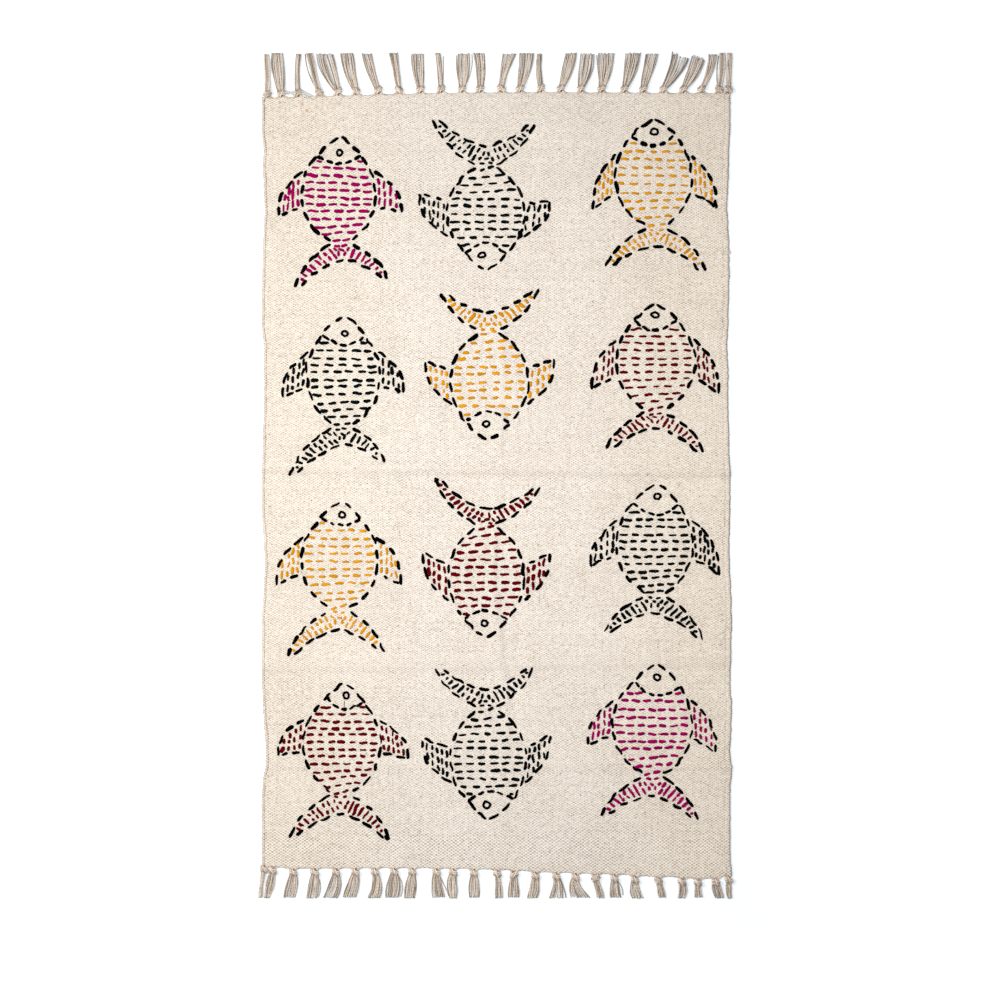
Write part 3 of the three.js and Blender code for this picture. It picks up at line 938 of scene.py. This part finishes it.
def outline_stitches(fish, draw, habit):
    """Black running stitches round one fish, and the little ring of its eye."""
    lines = fish_lines(fish)
    length, gap, width = habit
    sewing = Sewing(*SEWING[fish.name])
    width = width * sewing.weight
    found = []
    for side in ("left", "right"):
        body = np.concatenate([lines["head_" + side], lines["flank_" + side][1:]])
        found += running_stitch(draw, body, length, gap, 1.0)
        found += running_stitch(draw, lines["fin_" + side], length, gap * 0.9, 0.8)
        found += running_stitch(draw, lines["fin_foot_" + side], length * 0.95, gap * 0.85, 4.0)
        found += running_stitch(draw, lines["tail_" + side], length, gap * 0.9, 1.0)
    under = np.concatenate([lines["tail_under_left"][::-1], lines["tail_under_right"][1:]])
    found += running_stitch(draw, under, length * 1.05, gap, 8.0)
    found += running_stitch(draw, lines["gill"], length * 0.72, gap * 0.5, 1.0)
    rows = [(start, end, width * (1 + draw.normal(0, 0.13))) for start, end in found]
    eye = np.array(fish.eye, float)
    turns = 7
    start_angle = draw.uniform(0, math.tau)
    radii = 1 + draw.normal(0, 0.09, turns + 1)
    radii[-1] = radii[0]
    for index in range(turns):
        angles = start_angle + math.tau * np.array([index - 0.12, index + 1.12]) / turns
        reach = radii[index:index + 2, None] * np.array(sewing.eye)
        ring = eye + reach * np.stack([np.cos(angles), np.sin(angles)], axis=-1)
        rows.append((ring[0], ring[1], EYE_WIDTH))
    for start, end, knot_width in KNOTS.get(fish.name, ()):
        rows.append((np.array(start), np.array(end), knot_width))
    return rows


def width_at(line, place):
    """Where a line that runs along the fish stands aside at a place."""
    order = np.argsort(line[:, 1])
    return float(np.interp(place, line[order, 1], line[order, 0]))


def height_at(line, aside):
    """Where a line that runs across the fish lies along it, at a distance from its middle."""
    order = np.argsort(np.abs(line[:, 0]))
    return float(np.interp(aside, np.abs(line[order, 0]), line[order, 1]))


def fill_body(fish, sewing, lines, draw, sew):
    """Sews the body's rows, from the gill line to the waist."""
    left, right, gill_line = lines["flank_left"], lines["flank_right"], lines["gill"]
    first = fish.gill + 7.5
    last = fish.waist[1] - 2
    above = int((first - max(fish.cheek_l[1], fish.cheek_r[1]) - 5) / sewing.row_step)
    count = round((last - first) / sewing.row_step)
    step = (last - first) / count
    share = np.linspace(0, 1, 20)
    slope = 0
    for index in range(-above, count + 1):
        place = first + index * step + draw.normal(0, 0.5)
        slope = slope * 0.6 + draw.normal(0.2, 0.8)
        low = width_at(left, place) + SEWING_INSET
        high = width_at(right, place) - SEWING_INSET
        if high - low < 9:
            low, high = low - 2, high + 2
        spans = [(low, high)]
        if index < 0:
            under = gill_line[gill_line[:, 1] > place - 3]
            spans = [(low, under[0, 0] - 3), (under[-1, 0] + 3, high)]
        sag = draw.normal(0, 0.7)
        lean = slope - 3.0 * fish.head_up * smooth((place - 80) / 60)
        for start, end in spans:
            if end - start < 7:
                continue
            height = place + lean * (share - 0.5) * 2 * (end - start) / (high - low)
            height = height + sag * np.sin(math.pi * share)
            line = np.stack([start + (end - start) * share, height], axis=-1)
            first_gap = draw.uniform(0, 1.5)
            sew(running_stitch(draw, line, sewing.length, sewing.gap, first_gap, 0.11, 0.35))


def fill_fin(side, sewing, lines, draw, sew):
    """Sews one fin, in columns from the body to its tip."""
    hand = 1 if side == "right" else -1
    upper, foot = lines["fin_" + side], lines["fin_foot_" + side]
    root = abs(width_at(lines["flank_" + side], 85)) + 5
    tip = abs(upper[-1, 0]) - 7.5
    length, gap = sewing.length * 0.8, sewing.gap * 0.75
    columns = max(3, round((tip - root) / FIN_COLUMN))
    for index in range(columns + 1):
        aside = root + (tip - root) * index / columns
        top = height_at(upper, aside) + SEWING_INSET
        base = height_at(foot, aside) - SEWING_INSET
        if base - top < 5:
            top = base - 5.5
        tilt = draw.normal(0, 1.2)
        line = np.array([(hand * (aside - 1.2) + tilt, top), (hand * (aside + 0.8), base)])
        sew(running_stitch(draw, line, length, gap, 0, 0.16, 0.6), 0.95)


def fill_lobe(side, sewing, lines, draw, sew):
    """Sews one lobe of the tail, in stitches from its outer edge to its inner one."""
    outer, inner = lines["tail_" + side], lines["tail_under_" + side]
    lobe = line_length(outer)
    length, gap = sewing.length * 0.7, sewing.gap * 0.6
    for place in np.arange(8.0, lobe - 12, LOBE_STEP):
        share = place / lobe
        start = along_line(outer, [place])[0]
        end = along_line(inner, [line_length(inner) * (0.02 + 0.93 * share)])[0]
        across = end - start
        span = np.linalg.norm(across)
        inset = min(3.4, span * 0.28)
        line = np.array([start + across * inset / span, end - across * inset / span])
        if span - 2 * inset < 14 or draw.random() < 0.45:
            sew([(line[0] + draw.normal(0, 0.6, 2), line[1] + draw.normal(0, 0.6, 2))])
        else:
            sew(running_stitch(draw, line, length, gap, 0, 0.14, 0.6), 0.93)


def fill_tail_root(fish, sewing, draw, sew):
    """Sews the few stitches between the waist and the tail's notch."""
    depth = (fish.notch[1] - fish.waist[1]) / 30
    for aside, place, lean in TAIL_ROOT:
        centre = np.array([fish.waist[0] + aside, fish.waist[1] + place * depth])
        centre = centre + draw.normal(0, 0.9, 2)
        lean = lean + draw.normal(0, 0.15)
        half = np.array([math.cos(lean), math.sin(lean)]) * sewing.length * draw.uniform(0.22, 0.34)
        sew([(centre - half, centre + half)], 0.92)


def fill_stitches(fish, draw):
    """The coloured stitches inside one fish: body rows, fins and tail."""
    lines = fish_lines(fish)
    sewing = Sewing(*SEWING[fish.name])
    rows = []

    def sew(stitches, share=1.0):
        for start, end in stitches:
            rows.append((start, end, sewing.width * share * (1 + draw.normal(0, 0.14))))

    fill_body(fish, sewing, lines, draw, sew)
    for side in ("left", "right"):
        fill_fin(side, sewing, lines, draw, sew)
        fill_lobe(side, sewing, lines, draw, sew)
    fill_tail_root(fish, sewing, draw, sew)
    return rows


def stitch_piece(name, fish, rows, material, cloth, height, seed):
    """One mesh of all the stitches of a colour on one fish, bedded in the cloth."""
    draw = np.random.default_rng(seed)
    start, end, wide = (np.array(column) for column in zip(*rows))
    flip = np.array([1, -fish.head_up])
    start = start * flip + fish.nose
    end = end * flip + fish.nose
    wide = wide / 2
    count = len(rows)
    share = np.linspace(0, 1, 9)
    run = end - start
    length = np.linalg.norm(run, axis=1)
    side = np.stack([-run[:, 1], run[:, 0]], axis=-1) / length[:, None]
    bend = draw.normal(0, 0.035, count) * length
    curl = draw.normal(0, 0.03, count) * length
    sway = bend[:, None] * np.sin(math.pi * share) + curl[:, None] * np.sin(math.tau * share)
    flat = start[:, None] + run[:, None] * share[None, :, None] + side[:, None] * sway[..., None]
    fat = np.clip(4 * share * (1 - share), 0, 1) ** 0.36
    belly = 1 + draw.normal(0, 0.12, count)[:, None] * (share - 0.5)[None] * 2
    profile = (0.48 + 0.52 * fat)[None] * belly
    tall = height / MM
    z = cloth_top(flat[..., 0], flat[..., 1], cloth) - 0.55 + fat[None] * (0.35 + 0.4 * tall)
    paths = np.concatenate([flat, z[..., None]], axis=2)
    high = np.minimum(wide, tall)[:, None] * profile * 0.72
    across = wide[:, None] * profile
    # Painted shade: darker at each stitch's ends, where it dives into the cloth, and on its
    # underside.
    strands = strand_arrays(
        paths, across, high, sides=8, plies=3, twist=0.42, ply_depth=0.07,
        shade=0.25 * (1 - fat)[None], under=0.45,
    )
    return add_strands(name, strands, material)


def through(start, middle, end, share):
    """A curve through three values, a start, a value halfway and an end."""
    share = np.asarray(share)
    return (
        start * (1 - share) * (1 - 2 * share) + middle * 4 * share * (1 - share)
        + end * share * (2 * share - 1)
    )


def hang_yarns(draw, tassel, sign, yarn, exit_at, length):
    """One tassel's fringe yarns: a layer on the floor painted dark as shade, and one above the gaps
    between its yarns.
    """
    half_span = tassel.half_right - tassel.half_left
    tip_span = tassel.tip_right - tassel.tip_left
    half_middle = (tassel.half_left + tassel.half_right) / 2
    tip_middle = (tassel.tip_left + tassel.tip_right) / 2
    widest = max(tip_span, half_span)
    count = int(np.clip(round(widest / 2.4) + 1, 5, 9))
    share = np.linspace(0, 1, 34)
    centre = through(tassel.knot, half_middle, tip_middle, share)
    half = through(KNOT_MOUTH, half_span / 2, tip_span / 2, share) - yarn
    split = 0.8 if widest > 15 and draw.random() < 0.3 else 0
    slant, ragged = 0, 0.4
    if tassel.short > 2:
        slant, ragged = (tip_middle - half_middle) * tip_span / length, 1.6
    paths = []
    shades = []
    lower = [(index + 1) / count for index in range(count - 1)]
    upper = [(index + 0.5) / count for index in range(count)]
    for index, place in enumerate(lower + upper):
        raised = index >= len(lower)
        place = 2 * place - 1 + draw.normal(0, 0.08)
        drift = 0.45 * np.sin(share * draw.uniform(4, 10) + draw.uniform(0, 6)) * share ** 0.5
        x = centre + half * place + drift + math.copysign(split, place) * share * (1 - share) * 4
        end = length + draw.normal(0, ragged) - (0 if raised else draw.uniform(0, 1.5))
        end = end - slant * place
        y = exit_at - 4 + (end + 4) * share
        rest = yarn * (2.1 if raised else 1)
        lift = 1.6 + 1.8 * ((index * 7) % count) / count
        z = rest + lift * (1 - smooth(share / 0.36)) + 0.15 * np.sin(share * 15 + index)
        paths.append(np.stack([x, sign * y, np.maximum(z, yarn)], axis=-1))
        # Painted shade: the lower layer darkest, a quarter of the upper yarns deeper, more by the
        # knot; darker at the tips.
        deep_in_shade = draw.random() < 0.25
        painted_yarn_shade = (0.36 if deep_in_shade else 0.04) if raised else 0.62
        painted_yarn_shade = painted_yarn_shade * (1 if sign > 0 else 0.82)
        painted_yarn_shade = painted_yarn_shade + 0.4 * (1 - smooth(share / 0.16))
        painted_yarn_shade = painted_yarn_shade + 0.25 * smooth((share - 0.95) / 0.05)
        shades.append(np.clip(painted_yarn_shade + draw.normal(0, 0.03), 0, 0.9))
    wide = yarn * (1 - 0.1 * share)
    return strand_arrays(
        paths, wide, wide, twist=0.85, ply_depth=0.12, shade=np.array(shades), under=0.95
    )


def tie_knot(draw, knot, sign, yarn, seat):
    """One overhand knot: its three wraps, the pair of yarns that crosses them, and its core."""
    hand = 1 if draw.random() > 0.2 else -1
    lean = hand * draw.uniform(0.35, 0.6)
    turn = np.linspace(0, math.tau * 1.04, 20)
    wraps = []
    for offset, size in ((2.2, 0.9), (4.5, 1.0), (6.8, 0.88)):
        radius = (KNOT_RADIUS + draw.normal(0, 0.3)) * size
        x = knot + radius * np.cos(turn)
        y = seat + offset + np.cos(turn) * radius * lean * 0.5
        z = 3.6 + 2.9 * size * np.sin(turn)
        wraps.append(np.stack([x, sign * y, z], axis=-1))
    share = np.linspace(0, 1, 12)
    crossing = []
    for offset in (-1.1, 1.1):
        x = knot + offset + lean * 11 * (share - 0.5)
        y = seat - 0.6 + 10.5 * share
        z = 3.0 + 4.2 * np.sin(math.pi * share) ** 0.6
        crossing.append(np.stack([x, sign * y, z], axis=-1))
    y = sign * (seat + np.linspace(-1, 9, 6))
    core = np.stack([np.full(6, knot), y, np.full(6, 3.2)], axis=-1)
    swell = np.array([0.55, 0.9, 1.0, 1.0, 0.9, 0.7])
    thick = yarn * 1.35
    # Painted shade on the wraps' inner sides and the crossing yarns' undersides; the core is painted
    # dark inside the knot.
    return [
        strand_arrays(wraps, thick, thick, ALONG_RUG, under=0.8, outward=math.pi),
        strand_arrays(crossing, thick, thick, under=0.85),
        strand_arrays([core], [3.4 * swell], [2.6 * swell], sides=8, twist=0.3, shade=0.6),
    ]


def gather_warps(draw, knot, sign, yarn, seat):
    """The warps that leave the cloth's edge on both sides of a knot and are drawn into it."""
    side = "top" if sign > 0 else "bottom"
    share = np.linspace(0, 1, 9)
    paths = []
    for aside in (-11.5, -6.5, 6.0, 11.0):
        aside = aside + draw.normal(0, 0.8)
        start_x = np.clip(knot + aside, -WARP_LIMIT, WARP_LIMIT)
        edge = sign * float(cloth_outline(np.array([start_x]), side)[0])
        x = start_x + (knot + aside * 0.2 - start_x) * share
        y = edge - 2.6 + (seat + 2.2 - edge + 2.6) * share ** 1.5
        z = 2.1 + 1.2 * np.sin(math.pi * share * 0.9)
        paths.append(np.stack([x, sign * y, z], axis=-1))
    wide = yarn * 0.95
    # Painted shade on the warps' undersides.
    return strand_arrays(paths, wide, wide, twist=0.85, ply_depth=0.14, under=0.7)


def stray_yarns(draw, tassel, sign, exit_at, length):
    """Now and then, a single yarn that hangs beside its tassel."""
    share = np.linspace(0, 1, 22)
    found = []
    for hand, half, tip in (
        (-1, tassel.half_left, tassel.tip_left), (1, tassel.half_right, tassel.tip_right)
    ):
        if draw.random() > 0.12:
            continue
        far = float(np.clip(tip + hand * draw.uniform(0.5, 5), *STRAY_LIMITS))
        middle = half + hand * draw.uniform(0, 2.5)
        x = through(tassel.knot + hand * 2, middle, far, share)
        y = exit_at - 3 + (length + 3 - draw.uniform(0, 5)) * share
        z = 0.6 + 2.2 * (1 - smooth(share / 0.5))
        path = np.stack([x, sign * y, z], axis=-1)
        # Painted shade on the stray yarn and its underside.
        found.append(
            strand_arrays(
                [path], STRAY_HALF, STRAY_HALF, sides=5, twist=0.9, shade=0.2, under=0.6
            )
        )
    return found


def tassel_strands(draw, tassel, sign, fringe):
    """The strands of one tassel: fringe yarns, knot, the warps drawn into it, and strays."""
    near = tassel.knot + np.linspace(-5, 5, 11)
    seat = float(np.max(sign * read_table(WOVEN_ENDS, near, 2 if sign > 0 else 1))) - 0.5
    yarn = fringe.yarn / MM / 2
    exit_at = seat + KNOT_LENGTH
    length = fringe.reach / MM - tassel.short - exit_at
    groups = [hang_yarns(draw, tassel, sign, yarn, exit_at, length)]
    groups += tie_knot(draw, tassel.knot, sign, yarn, seat)
    groups.append(gather_warps(draw, tassel.knot, sign, yarn, seat))
    groups += stray_yarns(draw, tassel, sign, exit_at, length)
    return join_arrays(groups)


def loose_weft_strands(cloth):
    """Weft threads that have come loose: a loop at the right selvedge and a tuft by the knots."""
    draw = np.random.default_rng(SEEDS["loose"])
    paths = []
    for stations in LOOSE_WEFTS:
        line = curve_through(*stations)
        line = along_line(line, np.linspace(0, line_length(line), 26))
        z = cloth_top(line[:, 0], line[:, 1], cloth) + 0.35 + draw.normal(0, 0.05)
        paths.append(np.concatenate([line, z[:, None]], axis=1))
    # Painted shade on the loose wefts' undersides.
    return strand_arrays(paths, 0.85, 0.7, under=0.8)


def dress(piece, slot, *nodes):
    """Rides a piece on the rug and hides the solids that it stands for."""
    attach(piece, BODY)
    if nodes:
        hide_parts(*nodes)


def size_property(label, text, value):
    """A length in metres that a user may change."""
    return bpy.props.FloatProperty(
        name=label, description=text, default=value, min=0, subtype="DISTANCE", unit="LENGTH"
    )


def number_property(label, text, value, unit="NONE"):
    """A number that a user may change."""
    return bpy.props.FloatProperty(name=label, description=text, default=value, min=0, unit=unit)


def colour_property(label, text, value):
    """A linear colour that a user may change."""
    return bpy.props.FloatVectorProperty(
        name=label, description=text, default=value, min=0, max=1, size=3, subtype="COLOR"
    )


class ClothSizes(bpy.types.PropertyGroup):
    """The woven panel's sizes and colours."""

    thickness: size_property("Thickness", "Thickness of the woven cloth", 0.003)
    cell: size_property("Mesh cell", "Side of the mesh cells of the cloth", 0.0046)
    warp_pitch: size_property("Warp pitch", "Distance between warps", 0.00322)
    weft_pitch: size_property("Weft pitch", "Distance between wefts", 0.00186)
    weave_relief: size_property("Weave relief", "Height of the raised wefts", 0.0006)
    weft_colour: colour_property("Weft", "Colour of the raised wefts", linear(245, 241, 232))
    warp_colour: colour_property("Warp", "Colour of the sunken warps", linear(222, 211, 198))
    # Painted shade down between the threads.
    painted_gap_shade: colour_property("Painted gap shade", "Colour between the threads", linear(160, 144, 130))
    fleck_colour: colour_property("Flecks", "Colour of dark flecks", linear(96, 78, 66))
    husk_colour: colour_property("Husks", "Colour of brown seed husks", linear(150, 112, 84))
    # Colour of the painted shade in grooves, at edges and ends and beside creases.
    painted_shade_colour: colour_property("Painted shade", "Colour laid over worn grooves", linear(120, 98, 82))
    # Tint of the painted shade towards the cloth's sides, where the light falls off.
    painted_side_shade_colour: colour_property("Painted side shade", "Tint of the cloth towards its sides", (1.0, 0.982, 0.95))
    stain_colour: colour_property("Stain", "Colour that the stain lays over", linear(226, 170, 92))


class StitchSizes(bpy.types.PropertyGroup):
    """The embroidery's sizes and colours."""

    outline_length: size_property("Outline stitch", "Length of a black stitch", 0.0152)
    outline_gap: size_property("Outline gap", "Gap between black stitches", 0.0068)
    outline_width: size_property("Outline width", "Width of a black stitch", 0.0052)
    height: size_property("Height", "How far the thread stands up", 0.0016)
    black: colour_property("Black", "Black thread", linear(2, 2, 3))
    magenta: colour_property("Magenta", "Magenta thread", linear(156, 0, 88))
    mustard: colour_property("Mustard", "Mustard thread", linear(226, 152, 0))
    dark_red: colour_property("Dark red", "Dark red thread", linear(98, 0, 10))
    dark_green: colour_property("Dark green", "Dark green thread", linear(3, 13, 15))


class FringeSizes(bpy.types.PropertyGroup):
    """The fringe's sizes and colours."""

    yarn: size_property("Yarn", "Diameter of a warp yarn", 0.0018)
    reach: size_property("Reach", "Distance from the middle to the fringe's tips", 0.632)
    # The light colour is the yarn's painted lit side, the dark its painted shade between the plies.
    light: colour_property("Light", "Lit side of the yarn", linear(245, 229, 212))
    dark: colour_property("Dark", "Between the plies", linear(158, 139, 123))


class StageSizes(bpy.types.PropertyGroup):
    """The floor, light and camera."""

    floor_reach: size_property("Floor reach", "Distance from the middle to the floor's edges", 24.0)
    camera_height: size_property("Camera height", "Camera above the floor", 3.535)
    key_power: number_property("Key light", "Power of the soft key light", 42, "POWER")
    overhead_power: number_property("Overhead", "Power of the overhead softbox", 12.1, "POWER")
    # How strongly the floor glows: painted light that keeps it white.
    painted_floor_glow: number_property("Floor glow", "How much the white floor lights up by itself", 0.75)
    sky: number_property("Surround", "Brightness of the white surround", 0.335)
    floor_colour: colour_property("Floor", "Colour of the studio floor", (0.95, 0.96, 0.965))
    # The painted glow's bluish share by the rug, so that shadows show there.
    painted_glow_by_rug: colour_property("Near glow", "Floor's share of glow by the rug", (0.14, 0.2, 0.25))


class RUG_OT_weave_panel(bpy.types.Operator):
    """Weave the rug panel on its creases"""

    bl_idname = "rug.weave_panel"
    bl_label = "Weave panel"

    def execute(self, context):
        cloth = context.scene.rug_cloth
        piece = weave_panel(cloth)
        dress(piece, "cotton_cloth", "woven_panel")
        # The loose weft's dark colour is the cloth's painted gap shade.
        weft = twisted_yarn(
            "loose_weft", cloth.weft_colour, cloth.painted_gap_shade,
            plies=2, fibre_scale=1500.0, relief=0.0003, spread=0.3,
        )
        ends = add_strands("loose_wefts", loose_weft_strands(cloth), weft)
        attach(ends, BODY)
        return {"FINISHED"}


class RUG_OT_stitch_fish(bpy.types.Operator):
    """Sew the twelve fish: black outlines and coloured fillings"""

    bl_idname = "rug.stitch_fish"
    bl_label = "Stitch fish"

    def execute(self, context):
        cloth = context.scene.rug_cloth
        sewing = context.scene.rug_stitches
        threads = {}
        for name in ("magenta", "mustard", "dark_red", "dark_green", "black"):
            colour = getattr(sewing, name)
            # A shaded and a lit copy of the thread's colour, for the painted shade and light of its
            # plies.
            dark = tuple(value * 0.5 for value in colour)
            light = tuple(min(1, value * 1.12) for value in colour)
            slot = name + "_thread"
            threads[slot] = twisted_yarn(
                slot, light, dark, plies=3, fibre_scale=1300.0, relief=0.0004, spread=0.3
            )
        outline_habit = (
            sewing.outline_length / MM,
            sewing.outline_gap / MM,
            sewing.outline_width / MM,
        )
        for index, row in enumerate(FISH):
            fish = Fish(*row)
            draw = np.random.default_rng(SEEDS["fish"] + index)
            sewn = (
                ("outline", "black_thread", 1.15, outline_stitches(fish, draw, outline_habit)),
                ("filling", fish.thread, 1, fill_stitches(fish, draw)),
            )
            for part, slot, rise, rows in sewn:
                piece = stitch_piece(
                    f"{fish.name}_{part}", fish, rows, threads[slot], cloth,
                    sewing.height * rise, SEEDS[part] + index,
                )
                dress(piece, slot)
        return {"FINISHED"}


class RUG_OT_tie_fringe(bpy.types.Operator):
    """Tie the warp ends into the tassels of both ends"""

    bl_idname = "rug.tie_fringe"
    bl_label = "Tie fringe"

    def execute(self, context):
        fringe = context.scene.rug_fringe
        yarn = twisted_yarn(
            "fringe_yarn", fringe.light, fringe.dark,
            plies=2, fibre_scale=1500.0, relief=0.0003, spread=0.85,
        )
        for end, sign in (("top", 1), ("bottom", -1)):
            for index, row in enumerate(TASSELS[end]):
                draw = np.random.default_rng(SEEDS[end] + index)
                node = f"tassel_{end}_{index + 1:02d}"
                strands = tassel_strands(draw, Tassel(*row), sign, fringe)
                piece = add_strands(node + "_yarns", strands, yarn)
                dress(piece, "fringe_yarn", node)
        return {"FINISHED"}


def aim(item, place, target):
    """Puts a light or camera at a place and points it at a target."""
    item.location = place
    offset = [b - a for a, b in zip(place, target)]
    flat = math.hypot(offset[0], offset[1])
    item.rotation_euler = (math.atan2(flat, -offset[2]), 0, math.atan2(-offset[0], offset[1]))


class RUG_OT_set_stage(bpy.types.Operator):
    """Lay the floor, hang the lights and set the camera"""

    bl_idname = "rug.set_stage"
    bl_label = "Set stage"

    def execute(self, context):
        scene = context.scene
        stage = scene.rug_stage
        corners = np.array([(-1, -1, 0), (1, -1, 0), (1, 1, 0), (-1, 1, 0)]) * stage.floor_reach
        floor = add_piece("studio_floor", corners, [(0, 1, 2, 3)], floor_finish(stage))

        for name, place, target, side, power in (
            ("key_light", (-2.0, 0.35, 1.9), (0, 0, 0), 1.0, stage.key_power),
            ("overhead_light", (-0.1, 0.01, 1.35), (-0.1, 0.01, 0), 0.5, stage.overhead_power),
        ):
            light = bpy.data.lights.new(name, "AREA")
            light.shape = "SQUARE"
            light.size = side
            light.energy = power
            item = bpy.data.objects.new(name, light)
            item.visible_camera = False
            scene.collection.objects.link(item)
            aim(item, place, target)

        world = bpy.data.worlds.new("white_surround")
        world.use_nodes = True
        surround = world.node_tree.nodes["Background"]
        surround.inputs["Color"].default_value = (1, 1, 1, 1)
        surround.inputs["Strength"].default_value = stage.sky
        scene.world = world
        scene.view_settings.view_transform = "Standard"

        camera = bpy.data.cameras.new("overhead_camera")
        camera.lens = 85
        camera.sensor_width = 36
        camera.clip_end = 50
        item = bpy.data.objects.new("overhead_camera", camera)
        item.location = (0.0052, -0.0366, stage.camera_height)
        scene.collection.objects.link(item)
        scene.camera = item
        return {"FINISHED"}


class RUG_PT_pieces(bpy.types.Panel):
    """The rug's pieces in the sidebar"""

    bl_label = "Kantha rug"
    bl_idname = "RUG_PT_pieces"
    bl_space_type = "VIEW_3D"
    bl_region_type = "UI"
    bl_category = "Rug"

    def draw(self, context):
        for operator in OPERATORS:
            self.layout.operator(operator.bl_idname)
        for name in SETTINGS:
            box = self.layout.box()
            group = getattr(context.scene, name)
            for key in group.__annotations__:
                box.prop(group, key)


OPERATORS = (RUG_OT_set_stage, RUG_OT_weave_panel, RUG_OT_stitch_fish, RUG_OT_tie_fringe)
SETTINGS = {
    "rug_cloth": ClothSizes,
    "rug_stitches": StitchSizes,
    "rug_fringe": FringeSizes,
    "rug_stage": StageSizes,
}


def register():
    """Registers the settings, the operators and the panel."""
    for name, group in SETTINGS.items():
        bpy.utils.register_class(group)
        setattr(bpy.types.Scene, name, bpy.props.PointerProperty(type=group))
    for item in (*OPERATORS, RUG_PT_pieces):
        bpy.utils.register_class(item)


def unregister():
    """Takes back what register did."""
    for item in (RUG_PT_pieces, *reversed(OPERATORS)):
        bpy.utils.unregister_class(item)
    for name, group in SETTINGS.items():
        delattr(bpy.types.Scene, name)
        bpy.utils.unregister_class(group)


def main():
    """Makes every piece in order."""
    register()
    bpy.ops.rug.set_stage()
    bpy.ops.rug.weave_panel()
    bpy.ops.rug.stitch_fish()
    bpy.ops.rug.tie_fringe()


if __name__ == "__main__":
    main()
